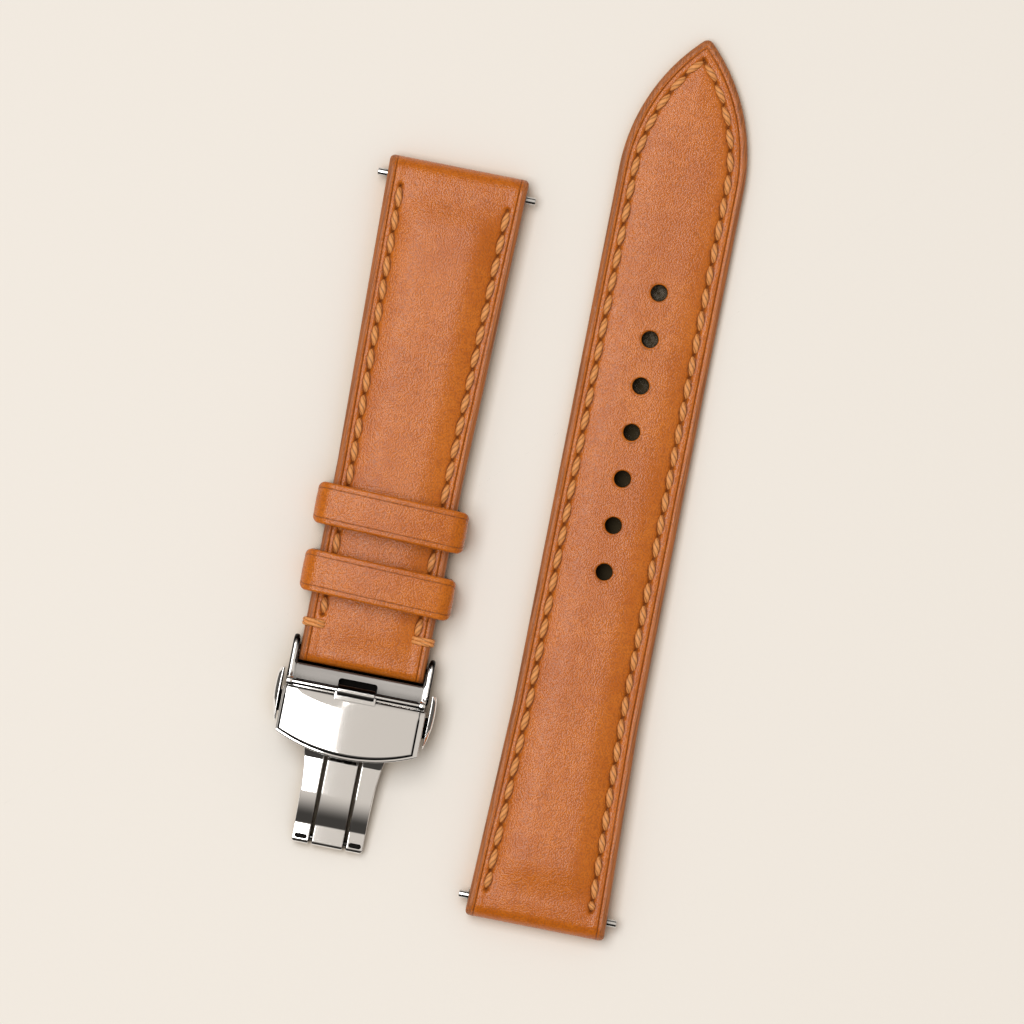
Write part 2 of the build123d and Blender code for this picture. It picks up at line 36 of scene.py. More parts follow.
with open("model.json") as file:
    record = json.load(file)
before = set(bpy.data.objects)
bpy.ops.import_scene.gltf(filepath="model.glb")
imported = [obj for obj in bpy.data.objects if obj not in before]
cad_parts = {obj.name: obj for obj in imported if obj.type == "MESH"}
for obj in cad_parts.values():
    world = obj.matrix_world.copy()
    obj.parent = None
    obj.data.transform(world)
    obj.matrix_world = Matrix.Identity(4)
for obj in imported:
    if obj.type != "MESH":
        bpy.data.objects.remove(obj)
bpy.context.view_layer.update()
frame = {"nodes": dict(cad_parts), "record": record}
MM = 0.001

# Leather sizes
lug_half = 10.0
clasp_half = 9.0
lug_corner = 0.8
lug_edge_height = 4.2
tail_edge_height = 1.9
clasp_end_lift = 1.3
lining_thickness = 0.9
end_lap = 7.0
seam_gap = 0.02
lug_nose = 2.1
clasp_nose = 1.45
nose_floor = 0.05
bend_begin = 12.0
bend_ease = 4.0
tip_length = 20.0
tip_overrun = 0.36
tip_round = 1.0
edge_round_width = 0.75
edge_round_drop = 0.6
under_round = 0.25
seam_inset = 0.05
crease_from_edge = 1.1
crease_width = 0.075
crease_depth = 0.12
land_rise = 0.05
land_from_edge = 1.75
land_width = 0.4
crown_margin = 2.65
shoulder_width = 4.2
shoulder_share = 0.94
shoulder_ease = 0.25
swelling = 1.33
crown_begin = 4.0
crown_full = 9.5
crown_lug_share = 0.2
crown_clasp_share = 0.35
hole_diameter = 2.4
hole_rim = 0.36
hole_rim_depth = 0.15
hole_pitch = 6.7
first_hole_from_tip = 36.5
hole_count = 7
lug_bar_inset = 2.75
lug_bar_bore = 1.86
clasp_bar_inset = 1.95
clasp_bar_bore = 1.56

# Stitching
stitch_pitch = 3.31
stitch_share = 0.85
stitch_width = 0.98
stitch_height = 0.66
stitch_slant = 0.07
stitch_end_share = 0.16
stitch_dive = 0.3
stitch_lift = 0.1
row_groove_depth = 0.17
row_groove_width = 0.45
pit_depth = 0.36
pit_width = 0.27
pit_line = 0.13
row_fade = 0.6
ply_depth = 0.13
ply_turns = 0.75
under_thread = 0.5
tack_from_end = 5.9
tack_inner = 6.35
tack_thread = 0.7
tack_spacing = 0.74
tack_bend = 0.62
tack_around = 14
tack_twist = 0.25

# Keepers
keeper_crease_from_edge = 0.85
keeper_crease_width = 0.065
keeper_crease_depth = 0.05
keeper_pillow = 0.03
keeper_set_back = 0.05
keeper_wall = 1.1
keeper_corner = 2.1
keeper_edge_round = 0.34
keeper_dome = 0.95
keeper_plan_round = 0.7
keeper_tilt = -math.radians(1.5)


def smooth_ramp(low, high, x):
    """0 below low, 1 above high, and smooth between."""
    t = np.clip((x - low) / (high - low), 0, 1)
    return t * t * (3 - 2 * t)


def bell(x, width):
    """A smooth bump of height 1 at zero."""
    return np.exp(-((x / width) ** 2))


def quarter_round(d, width, drop):
    """How far a rounded arris lies below its face at a distance d from the edge."""
    t = np.clip(1 - d / width, 0, 1)
    return drop * (1 - np.sqrt(1 - t * t))


def full_turn(count):
    """Angles all the way round, without the first one again at the end."""
    return np.linspace(0, 2 * math.pi, count, endpoint=False)


def quarter_turn(count):
    return np.linspace(0, math.pi / 2, count)


def box_of(node):
    """A node's lowest and highest corners in millimetres."""
    return [np.array(corner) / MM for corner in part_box(node)]


class Strap:
    """One leather piece: its outline, levels and stitch rows, in its own millimetres."""

    def __init__(self, node, turn, width_taper, edge_top, under, crown, tip=False):
        low, high = box_of(node)
        self.turn = turn
        self.x = (low[0] + high[0]) / 2
        self.y = low[1] if turn > 0 else high[1]
        self.length = round(high[1] - low[1], 1)
        self.width_taper = width_taper
        self.edge_top_line = edge_top
        self.under_line = under
        self.crown_line = crown
        self.tip = tip
        self.tip_start = self.length - tip_length
        reach = tip_length + tip_overrun
        self.arc = (reach**2 + clasp_half**2) / (2 * clasp_half)
        self.arc_centre = self.arc - clasp_half
        self.round_centre = self.tip_start + math.sqrt((self.arc - tip_round) ** 2 - self.arc_centre**2)
        self.round_start = self.tip_start + (self.round_centre - self.tip_start) * self.arc / (
            self.arc - tip_round
        )
        self.rows = []

    def place(self, points):
        """Points of the strap's own frame, in metres in the row frame."""
        u, v, z = np.moveaxis(np.asarray(points, float), -1, 0)
        return np.stack([self.x + self.turn * u, self.y + self.turn * v, z], axis=-1) * MM

    def straight_half(self, v):
        return np.interp(v, [0, self.width_taper, self.length], [lug_half, clasp_half, clasp_half])

    def half_width(self, v):
        """Half the strap's width at v, with its rounded lug corners and its pointed tip."""
        half = self.straight_half(v)
        corner = np.clip(lug_corner - v, 0, lug_corner)
        half = half - lug_corner + np.sqrt(lug_corner**2 - corner**2)
        if not self.tip:
            return half
        past = np.clip(v - self.tip_start, 0, None)
        arc = np.sqrt(self.arc**2 - past**2) - self.arc_centre
        end = np.sqrt(np.clip(tip_round**2 - (v - self.round_centre) ** 2, 0, None))
        return np.where(v < self.tip_start, half, np.where(v < self.round_start, arc, end))

    def edge_distance(self, u, v):
        """The distance inwards from the strap's long sides and its pointed tip."""
        side = self.straight_half(v) - np.abs(u)
        if not self.tip:
            return side
        past = v - self.tip_start
        arc = self.arc - np.hypot(np.abs(u) + self.arc_centre, past)
        ahead = v - self.round_centre
        end = tip_round - np.hypot(u, ahead)
        in_round = (ahead > 0) & (np.abs(u) * (self.round_centre - self.tip_start) < ahead * self.arc_centre)
        return np.where(past < 0, side, np.where(in_round, end, arc))

    def row_half(self, v, inset):
        """How far from the middle a row of stitches lies at v."""
        straight = self.straight_half(v) - inset
        if not self.tip:
            return straight
        past = np.clip(v - self.tip_start, 0, self.arc - inset - 1e-6)
        arc = np.sqrt((self.arc - inset) ** 2 - past**2) - self.arc_centre
        return np.where(v < self.tip_start, straight, arc)

    def under(self, v):
        return np.interp(v, *zip(*self.under_line))

    def edge_top(self, v):
        """The line of the top at the edge, with its bend eased."""
        line = list(zip(*self.edge_top_line))
        reach = np.linspace(-bend_ease, bend_ease, 9)
        eased = np.mean([np.interp(np.clip(v + r, 0, self.length), *line) for r in reach], axis=0)
        return np.where(v > bend_begin, eased, np.interp(v, *line))

    def nose(self, v):
        """How much of the full height is left towards a rounded end, from 0 to 1."""
        start = np.clip(1 - v / lug_nose, 0, 1)
        share = np.sqrt(1 - start**2)
        if not self.tip:
            end = np.clip(1 - (self.length - v) / clasp_nose, 0, 1)
            share = share * np.sqrt(1 - end**2)
        return np.clip(share, nose_floor, 1)

    def middle(self, v):
        """The level of the bar in the nearer end."""
        lug = lug_edge_height / 2
        clasp = (lug_edge_height + clasp_end_lift) / 2
        return lug if self.tip else np.where(v < self.length / 2, lug, clasp)

    def crown(self, d, v):
        """The padded swelling: a shoulder beside the stitches and a gentle dome."""
        rise = swelling * np.interp(v, *zip(*self.crown_line))
        rise = rise * (crown_lug_share + (1 - crown_lug_share) * smooth_ramp(crown_begin, crown_full, v))
        if not self.tip:
            ahead = smooth_ramp(2.0, 6.5, self.length - v)
            rise = rise * (crown_clasp_share + (1 - crown_clasp_share) * ahead)
        rise = rise * smooth_ramp(1.2, 3.6, v)
        inside = d - crown_margin
        inside = (inside + np.sqrt(inside**2 + shoulder_ease**2)) / 2
        inside = inside * smooth_ramp(crown_margin - 0.6, crown_margin, d)
        shoulder = 1 - np.clip(1 - inside / shoulder_width, 0, 1) ** 2
        dome = 1 - np.clip(1 - inside / (clasp_half - crown_margin), 0, 1) ** 2
        return rise * (shoulder_share * shoulder + (1 - shoulder_share) * dome)

    def creased(self, d):
        """How strongly the pressed line beside the edge shows at d."""
        return bell(d - crease_from_edge, crease_width)

    def plain_top(self, u, v):
        """The top face without its stitch rows."""
        d = self.edge_distance(u, v)
        land = land_rise * bell(d - land_from_edge, land_width)
        face = self.edge_top(v) + self.crown(d, v) + land - crease_depth * self.creased(d)
        return face - quarter_round(d, edge_round_width, edge_round_drop)

    def face_level(self, u, v):
        """The level of the plain top at one place."""
        return float(self.plain_top(np.array([[u]]), np.array([[v]]))[0, 0])

    def row_press(self, u, v):
        """How deep the stitches press into the face, and the painted shade in their holes and round each
        stitch.
        """
        press = np.zeros(np.broadcast(u, v).shape)
        dark = np.zeros_like(press)
        for row in self.rows:
            inner = self.row_half(v, row.inset) - row.side * u
            first = row.gaps[0][1]
            fade = smooth_ramp(first - 0.8, first + 0.2, v)
            fade = fade * smooth_ramp(row.last - row_fade, row.last + row_fade, 2 * row.last - v)
            press += row_groove_depth * bell(inner, row_groove_width) * fade
            along = np.interp(v, row.vs, row.lengths)
            phase = np.interp(along, row.marks, np.arange(len(row.marks))) % 1
            outline = stitch_width / 2 * np.sin(math.pi * phase) ** 0.7
            dark = np.maximum(dark, 0.8 * bell(np.abs(inner) - outline, pit_line) * fade)
            for gap_u, gap_v in row.gaps:
                near = np.abs(v[:, 0] - gap_v) < 4 * pit_width
                pit = bell(np.hypot(u[near] - gap_u, v[near] - gap_v), pit_width)
                press[near] += pit_depth * pit
                dark[near] = np.maximum(dark[near], pit)
        return press, dark

    def row_point(self, row, along):
        """The point at a distance along a row, and the row's direction there."""
        step = 0.05
        v, ahead = (np.interp(at, row.lengths, row.vs) for at in (along, along + step))
        u0, u1 = (row.side * float(self.row_half(at, row.inset)) for at in (v, ahead))
        return np.array([u0, v]), np.array([u1 - u0, ahead - v]) / np.hypot(u1 - u0, max(ahead - v, 1e-9))


class Row:
    """A row of stitches on one side of a strap, from its first hole to its last."""

    def __init__(self, strap, side, inset, first, pitch, last, first_length=None, short_end=()):
        self.side = side
        self.inset = inset
        self.last = max([last, *short_end])
        self.vs = np.arange(0, self.last + 3, 0.05)
        us = strap.row_half(self.vs, inset)
        steps = np.hypot(np.diff(us), np.diff(self.vs))
        self.lengths = np.concatenate([[0], np.cumsum(steps)])
        begin = np.interp(first, self.vs, self.lengths)
        end = np.interp(last, self.vs, self.lengths)
        self.marks = list(np.linspace(begin, end, round((end - begin) / pitch) + 1))
        if first_length:
            self.marks.insert(0, begin - first_length)
        self.marks += list(np.interp(short_end, self.vs, self.lengths))
        self.gaps = [tuple(strap.row_point(self, mark)[0]) for mark in self.marks]
        strap.rows.append(self)


long_strap = Strap(
    "long_top_leather",
    turn=1,
    width_taper=31.0,
    edge_top=[(0, lug_edge_height), (84.0, tail_edge_height), (130.0, tail_edge_height)],
    under=[(0, 0), (130.0, 0)],
    crown=[(0, 0.7), (9.5, 0.7), (108.0, 0.24), (130.0, 0.16)],
    tip=True,
)
short_strap = Strap(
    "short_top_leather",
    turn=-1,
    width_taper=44.0,
    edge_top=[(0, lug_edge_height), (80.0, lug_edge_height)],
    under=[(0, 0), (12.0, 0), (31.0, clasp_end_lift), (80.0, clasp_end_lift)],
    crown=[(0, 0.7), (9.5, 0.7), (68.0, 0.42), (80.0, 0.42)],
)
Row(long_strap, -1, 2.2, first=6.87, pitch=3.326, last=125.1, first_length=2.7)
Row(long_strap, 1, 2.45, first=5.47, pitch=3.3, last=124.75, first_length=1.5)
Row(short_strap, 1, 2.15, first=4.23, pitch=3.31, last=57.2, short_end=(60.1, 63.1, 65.7))
Row(short_strap, -1, 2.15, first=4.8, pitch=3.28, last=57.26, short_end=(60.4, 63.5, 66.5))

bodies = frame["record"]["behaviour"]["bodies"]
body_of = {node: body for body, nodes in bodies.items() for node in nodes}


def linked(name, data):
    """A new object in the scene."""
    thing = bpy.data.objects.new(name, data)
    bpy.context.scene.collection.objects.link(thing)
    return thing


def mark(mesh, key, values):
    """Gives each point of a mesh a value."""
    layer = mesh.attributes.get(key) or mesh.attributes.new(key, "FLOAT", "POINT")
    layer.data.foreach_set("value", np.asarray(values, np.float32).ravel())


def make_mesh(name, points, faces, attributes=None, materials=()):
    """An object from points in metres, with its face normals outwards."""
    mesh = bpy.data.meshes.new(name)
    mesh.from_pydata([tuple(p) for p in points.tolist()], [], faces)
    for key, values in (attributes or {}).items():
        mark(mesh, key, values)
    for material in materials:
        mesh.materials.append(material)
    shape = bmesh.new()
    shape.from_mesh(mesh)
    bmesh.ops.recalc_face_normals(shape, faces=shape.faces)
    shape.to_mesh(mesh)
    shape.free()
    return linked(name, mesh)


def ring_points(rings):
    """Rings of (x, y, z) as one array of points. One number counts for a whole ring."""
    return np.concatenate([np.stack(np.broadcast_arrays(*ring), -1) for ring in rings])


def ring_faces(count, around, offset=0, capped=True):
    """Quads between rings of points that close round, and a face on each end."""
    i, j = np.meshgrid(np.arange(count - 1), np.arange(around), indexing="ij")
    k = (j + 1) % around
    quads = np.stack([i * around + j, i * around + k, (i + 1) * around + k, (i + 1) * around + j], -1)
    faces = (quads.reshape(-1, 4) + offset).tolist()
    if capped:
        faces.append((np.arange(around)[::-1] + offset).tolist())
        faces.append((np.arange(around) + (count - 1) * around + offset).tolist())
    return faces


def dressed(thing, body, material, replaced=(), smooth=35, flat=False):
    """Gives a piece its shading, material and body, and hides the nodes that it stands for."""
    thing.data.shade_smooth()
    thing.data.set_sharp_from_angle(angle=math.radians(smooth))
    if flat:
        weigh = thing.modifiers.new("flat_faces", "WEIGHTED_NORMAL")
        weigh.keep_sharp = True
        weigh.weight = 100
    if not thing.data.materials:
        thing.data.materials.append(material)
    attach(thing, body)
    if replaced:
        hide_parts(*replaced)
    return thing


def combined(thing, other, operation="DIFFERENCE"):
    """Takes another piece out of a piece, or joins it on. Its faces keep their own material slot."""
    change = thing.modifiers.new("change", "BOOLEAN")
    change.operation = operation
    change.solver = "EXACT"
    change.object = other
    graph = bpy.context.evaluated_depsgraph_get()
    mesh = bpy.data.meshes.new_from_object(thing.evaluated_get(graph))
    thing.modifiers.clear()
    thing.data = mesh
    bpy.data.objects.remove(other)
    return thing


class Nodes:
    """Wires up the nodes of a material or the world, one at a time."""

    def __init__(self, owner, end):
        owner.use_nodes = True
        self.owner = owner
        self.nodes = owner.node_tree.nodes
        self.links = owner.node_tree.links
        self.end = self.nodes[end]

    def feed(self, made, key, value):
        """Sets an input to a value or wires it to another node's output."""
        socket = made.inputs[key]
        if isinstance(value, bpy.types.NodeSocket):
            self.links.new(value, socket)
        else:
            socket.default_value = value

    def add(self, kind, settings=None, **inputs):
        """A node with its settings and inputs."""
        made = self.nodes.new(kind)
        for key, value in (settings or {}).items():
            setattr(made, key, value)
        for key, value in inputs.items():
            self.feed(made, key.replace("_", " "), value)
        return made

    def math(self, operation, a, b, clamp=False):
        made = self.add("ShaderNodeMath", {"operation": operation, "use_clamp": clamp})
        self.feed(made, 0, a)
        self.feed(made, 1, b)
        return made.outputs[0]

    def plus(self, a, b, clamp=False):
        return self.math("ADD", a, b, clamp)

    def minus(self, a, b):
        return self.math("SUBTRACT", a, b)

    def times(self, a, b):
        return self.math("MULTIPLY", a, b)

    def higher(self, a, b):
        return self.math("MAXIMUM", a, b)

    def ramp(self, value, low, high, start=0.0, end=1.0):
        """Smoothly from start to end as a value goes from low to high."""
        limits = {"From_Min": low, "From_Max": high, "To_Min": start, "To_Max": end}
        settings = {"interpolation_type": "SMOOTHSTEP"}
        return self.add("ShaderNodeMapRange", settings, Value=value, **limits).outputs["Result"]

    def mix(self, share, a, b):
        """A colour between two colours."""
        made = self.add("ShaderNodeMix", {"data_type": "RGBA"})
        for key, value in ((0, share), (6, a), (7, b)):
            self.feed(made, key, value)
        return made.outputs[2]

    def place(self):
        """Places in the object's own space, in metres."""
        return self.add("ShaderNodeTexCoord").outputs["Object"]

    def split(self, vector):
        return self.add("ShaderNodeSeparateXYZ", Vector=vector).outputs

    def noise(self, scale, detail=2.0, roughness=0.5, stretch=(1, 1, 1), distortion=0.0):
        """Noise with a scale in cycles per millimetre."""
        scales = [scale / MM * s for s in stretch]
        spread = self.add("ShaderNodeMapping", Vector=self.place(), Scale=scales).outputs[0]
        wanted = {"Scale": 1.0, "Detail": detail, "Roughness": roughness, "Distortion": distortion}
        return self.add("ShaderNodeTexNoise", Vector=spread, **wanted).outputs["Fac"]

    def cells(self, scale):
        """The distance field of random cells, with a scale in cells per millimetre."""
        return self.add("ShaderNodeTexVoronoi", Vector=self.place(), Scale=scale / MM).outputs["Distance"]

    def attribute(self, name):
        return self.add("ShaderNodeAttribute", {"attribute_name": name}).outputs["Fac"]

    def openness(self, reach, samples=6):
        """How open the space round a point is, within a reach in millimetres."""
        made = self.add("ShaderNodeAmbientOcclusion", {"samples": samples}, Distance=reach * MM)
        return made.outputs["AO"]

    def bump(self, height, depth, strength=1.0, **below):
        """The surface normal of a relief with a depth in millimetres."""
        settings = {"Height": height, "Strength": strength, "Distance": depth * MM}
        return self.add("ShaderNodeBump", **settings, **below).outputs["Normal"]

    def painted(self, colour, roughness, normal, **others):
        """Wires the surface's own shader and gives the material."""
        inputs = {"Base Color": colour, "Roughness": roughness, "Normal": normal, **others}
        for key, value in inputs.items():
            self.feed(self.end, key.replace("_", " "), value)
        return self.owner


def surface(name):
    return Nodes(bpy.data.materials.new(name), "Principled BSDF")


def darker(colour, share):
    return [c * share for c in colour[:3]] + [1]


leather_shadow = [0.05, 0.014, 0.004, 1]
leather_gloss = 0.4
steel_shadow = [0.006, 0.0055, 0.005, 1]
hole_shadow = [0.05, 0.036, 0.018, 1]
mirror_tone = [0.93, 0.915, 0.9, 1]
mirror_roughness = 0.025


def leather(name, light, deep, edge, roughness, grain=1.0):
    """Grained leather with a burnished edge, drawn from the distance to the edge in millimetres, with
    painted shade in its hollows, along its creases and round its stitches.
    """
    s = surface(name)
    patches = s.noise(0.09, detail=3.0)
    mottle = s.noise(0.7, detail=3.0, roughness=0.6)
    wrinkles = s.noise(3.0, detail=2.5, roughness=0.55, stretch=(1.2, 0.9, 1), distortion=0.6)
    pebbles = s.cells(4.6)
    fine = s.noise(6.5)
    streaks = s.noise(1.0, detail=3.0, stretch=(5.0, 0.08, 5.0))
    uneven = s.minus(mottle, 0.5)

    tone = s.plus(s.times(patches, 0.55), s.times(mottle, 0.45))
    colour = s.mix(s.ramp(tone, 0.36, 0.66), light, deep)
    valley = s.ramp(s.plus(pebbles, s.times(fine, 0.3)), 0.5, 0.95)
    colour = s.mix(s.times(valley, 0.55 * grain), colour, darker(deep, 0.55))
    burnish = s.ramp(s.plus(s.attribute("edge_mm"), s.times(uneven, 0.2)), 0.95, 0.6)
    edge_tone = s.mix(s.ramp(streaks, 0.42, 0.62), edge, darker(edge, 0.62))
    colour = s.mix(burnish, colour, edge_tone)
    # Painted shade: darker where a point is hemmed in, and where the shade mark lies along creases and round
    # stitches.
    crevice_shade = s.ramp(s.openness(2.2), 0.62, 0.12)
    dark = s.higher(s.times(s.attribute("shade"), 0.85), s.times(crevice_shade, 0.8))
    colour = s.mix(dark, colour, leather_shadow)

    rough = s.plus(roughness, s.times(uneven, 0.14))
    for part, share in ((valley, 0.1), (dark, 0.5), (burnish, 0.12)):
        rough = s.plus(rough, s.times(part, share))
    height = s.plus(s.minus(s.times(wrinkles, 0.22), pebbles), s.times(fine, 0.25))
    ridges = s.bump(height, 0.042 * grain)
    normal = s.bump(s.times(streaks, burnish), 0.09, Normal=ridges)
    return s.painted(colour, rough, normal, Specular_IOR_Level=leather_gloss)


def raw_leather(name, colour):
    """The rough cut face inside a punched hole."""
    s = surface(name)
    fibres = s.noise(3.0, detail=4.0, roughness=0.7)
    face = s.mix(fibres, colour, darker(colour, 0.4))
    return s.painted(face, s.plus(0.72, s.times(fibres, 0.2)), s.bump(fibres, 0.08))


def waxed_thread(name, light, deep):
    """Waxed sewing thread with its fibres along the ply."""
    s = surface(name)
    fibres = s.noise(4.0, detail=3.0, roughness=0.7, stretch=(1.6, 0.5, 1.6))
    colour = s.mix(s.ramp(fibres, 0.3, 0.7), deep, light)
    # Painted shade in the grooves between the plies, where the ply mark is high.
    colour = s.mix(s.attribute("ply"), colour, darker(deep, 0.3))
    return s.painted(colour, s.plus(0.46, s.times(fibres, 0.2)), s.bump(fibres, 0.05, 0.8))


def steel(name, colour, roughness, scratch, grain=(0.15, 6.0, 6.0), depth=0.004):
    """Stainless steel: fine lines, faint smudges, painted shade in its crevices, low recesses and marked
    places, and a polish where it is asked for.
    """
    s = surface(name)
    lines = s.noise(1.0, detail=4.0, roughness=0.75, stretch=grain)
    smudge = s.noise(0.25, detail=3.0)
    polish = s.attribute("polish")
    plain = s.minus(1.0, polish)
    face = s.mix(polish, s.mix(lines, colour, darker(colour, 0.94)), mirror_tone)
    # Painted shade: darker where a point is hemmed in, more so low down, and where its points are marked for
    # shade.
    raised = s.ramp(s.split(s.place())["Z"], 2.5 * MM, 3.5 * MM)
    open_sky = s.plus(s.openness(3.0), s.times(raised, 0.12))
    crevice_shade = s.higher(s.ramp(open_sky, 0.84, 0.5), s.ramp(s.attribute("painted_shade"), 0.15, 0.85))
    brushed = s.plus(roughness, s.times(lines, scratch))
    brushed = s.plus(brushed, s.times(smudge, scratch * 0.6))
    polished = s.plus(mirror_roughness, s.times(crevice_shade, 0.4))
    return s.painted(
        s.mix(crevice_shade, face, steel_shadow),
        s.plus(s.times(brushed, plain), s.times(polish, polished)),
        s.bump(s.times(lines, plain), depth, 0.6),
        Metallic=1.0,
    )


def backdrop_paper(name, colour):
    """Pale matt card with a very faint tooth, with painted shadow that is warm beside the things on it and
    dark in their holes, and painted shade that makes it darker to the far left, where the soft box is.
    """
    s = surface(name)
    tooth = s.noise(1.2, detail=3.0)
    broad = s.noise(0.02)
    face = s.mix(s.times(s.plus(tooth, broad), 0.5), colour, darker(colour, 0.985))
    # Painted shadow: warm where things stand close, and dark where the card lies deep in a hole.
    near = s.openness(6.0, samples=12)
    deep = s.ramp(near, 0.37, 0.27)
    warm = s.times(s.ramp(near, 0.9, 0.35), 0.6)
    shadowed = [c * w for c, w in zip(colour, (0.86, 0.72, 0.56))] + [1]
    # Painted shade, darker towards the far left.
    place = s.split(s.place())
    slope = s.minus(s.times(place["X"], 2.2), s.times(place["Y"], 1.5))
    face = s.mix(s.plus(0.55, slope, clamp=True), darker(colour, 0.84), face)
    colour = s.mix(deep, s.mix(warm, face, shadowed), hole_shadow)
    return s.painted(colour, 0.95, s.bump(tooth, 0.03, 0.5), Specular_IOR_Level=0.15)


tan = leather(
    "tan_calf",
    light=[0.63, 0.17, 0.012, 1],
    deep=[0.52, 0.123, 0.005, 1],
    edge=[0.44, 0.135, 0.032, 1],
    roughness=0.2,
)
lining = leather(
    "lining_calf",
    light=[0.60, 0.36, 0.19, 1],
    deep=[0.50, 0.28, 0.14, 1],
    edge=[0.34, 0.15, 0.075, 1],
    roughness=0.55,
    grain=0.6,
)
# The cut leather's own dark tone, made darker still as painted shade inside the holes and bores.
raw = raw_leather("cut_leather", [0.045, 0.02, 0.01, 1])
thread = waxed_thread("waxed_thread", [0.86, 0.37, 0.11, 1], [0.68, 0.25, 0.06, 1])
satin = steel("satin_steel", [0.265, 0.25, 0.235, 1], 0.42, 0.1)
mirror = steel("mirror_steel", mirror_tone, mirror_roughness, 0.02, grain=(0.3, 2.0, 2.0), depth=0.0004)
wire = steel("spring_wire", [0.55, 0.55, 0.56, 1], 0.25, 0.1)
paper = backdrop_paper("cream_card", [0.954, 0.914, 0.856, 1])


def mirrored(steps):
    """Shares of the half width from edge to edge, from distances in from one edge."""
    left = -(1 - steps / clasp_half)
    return np.concatenate([left, -left[-2::-1]])


def face_columns():
    """Columns that lie close together near the edges."""
    rounding = edge_round_width * (1 - np.cos(quarter_turn(8)))
    band = np.arange(edge_round_width + 0.08, crown_margin + 0.4, 0.085)
    field = np.linspace(band[-1] + 0.25, clasp_half, 17)
    return mirrored(np.concatenate([rounding, band, field]))


def plain_columns():
    rounding = under_round * np.array([0, 0.1, 0.3, 0.6, 1.0])
    return mirrored(np.concatenate([rounding, np.linspace(0.6, clasp_half, 14)]))


def slab(name, strap, stations, faces, columns, materials, press=False):
    """A closed layer between an upper and a lower face, trimmed to the strap's outline."""
    v = stations[:, None]
    half = strap.half_width(stations)[:, None]
    top_u = half * columns[0]
    low_u = half * columns[1][::-1]
    top_v = v + 0 * top_u
    top_z = faces[0](top_u, top_v)
    low_z = faces[1](low_u, v + 0 * low_u)
    # Painted shade along the pressed crease, and from row_press in the stitch holes.
    shade = strap.creased(strap.edge_distance(top_u, top_v)) * 0.85
    if press:
        depth, dark = strap.row_press(top_u, top_v)
        shade = np.maximum(shade, dark)
        middle, nose = strap.middle(v), strap.nose(v)
        top_z = middle + (top_z - depth - middle) * nose
        low_z = np.where(low_z < middle - 1.0, middle + (low_z - middle) * nose, low_z)
    wall_shares = np.array([0.02, 0.2, 0.4, 0.6, 0.8, 0.97])
    wall_drop = (top_z[:, -1:] - low_z[:, :1]) * wall_shares
    wall_z = top_z[:, -1:] - wall_drop
    inset = np.zeros_like(wall_z)
    inset[:, -1] = seam_inset
    right_u = half - inset
    u = np.concatenate([top_u, right_u, low_u, -right_u[:, ::-1]], axis=1)
    z = np.concatenate([top_z, wall_z, low_z, wall_z[:, ::-1]], axis=1)
    points = np.stack([u, v + 0 * u, z], axis=-1)
    top_edge = strap.edge_distance(top_u, top_v)
    wall_edge = wall_z - top_z[:, -1:]
    edge = np.concatenate([top_edge, wall_edge, np.full_like(low_z, 4.0), wall_edge[:, ::-1]], axis=1)
    dark = np.zeros_like(edge)
    dark[:, : shade.shape[1]] = shade
    marks = {"edge_mm": edge, "shade": dark}
    return make_mesh(name, strap.place(points.reshape(-1, 3)), ring_faces(*u.shape), marks, materials)


def stations_of(strap, start, end):
    """Places along a strap, about a fourteenth of a stitch apart and closer at a rounded end."""
    step = stitch_pitch / 14
    places = [np.arange(max(start, lug_nose), min(end, strap.length - clasp_nose), step)]
    if start < lug_nose:
        turn = quarter_turn(14)[:-1]
        places.insert(0, start + lug_nose * (1 - np.cos(turn)))
    if strap.tip:
        last = strap.round_centre + tip_round
        places.append(last - 1.4 * np.linspace(1, 0.05, 12) ** 2)
    elif end > strap.length - clasp_nose:
        turn = quarter_turn(13)[1:]
        places.append(strap.length - clasp_nose + clasp_nose * np.sin(turn))
    stations = np.unique(np.round(np.concatenate(places), 4))
    return stations[(stations >= start) & (stations <= end)]


def with_step(stations, places):
    """Adds a close pair of stations at each place where a level jumps."""
    extra = [p + d for p in places for d in (-seam_gap / 2, seam_gap / 2)]
    kept = [s for s in stations if all(abs(s - e) > seam_gap for e in extra)]
    return np.array(sorted(kept + extra))


def joined(name, parts, materials=()):
    """Several (points, faces, attributes) blocks as one mesh object."""
    points = np.concatenate([block[0] for block in parts])
    offsets = np.cumsum([0] + [len(block[0]) for block in parts[:-1]])
    faces = [[i + int(o) for i in face] for o, block in zip(offsets, parts) for face in block[1]]
    keys = parts[0][2].keys()
    attributes = {key: np.concatenate([block[2][key] for block in parts]) for key in keys}
    return make_mesh(name, points, faces, attributes, materials)


def punch(name, strap, solids, is_raw):
    """A cutter from solids of rings. Its faces leave raw leather where is_raw says so, else tan."""
    blocks = []
    for rings in solids:
        points = strap.place(ring_points(rings))
        faces = ring_faces(len(rings), len(points) // len(rings))
        blocks.append((points, faces, {"edge_mm": np.full(len(points), 3.0)}))
    cutter = joined(name, blocks, [tan, raw])
    for face in cutter.data.polygons:
        face.material_index = int(is_raw(face))
    return cutter


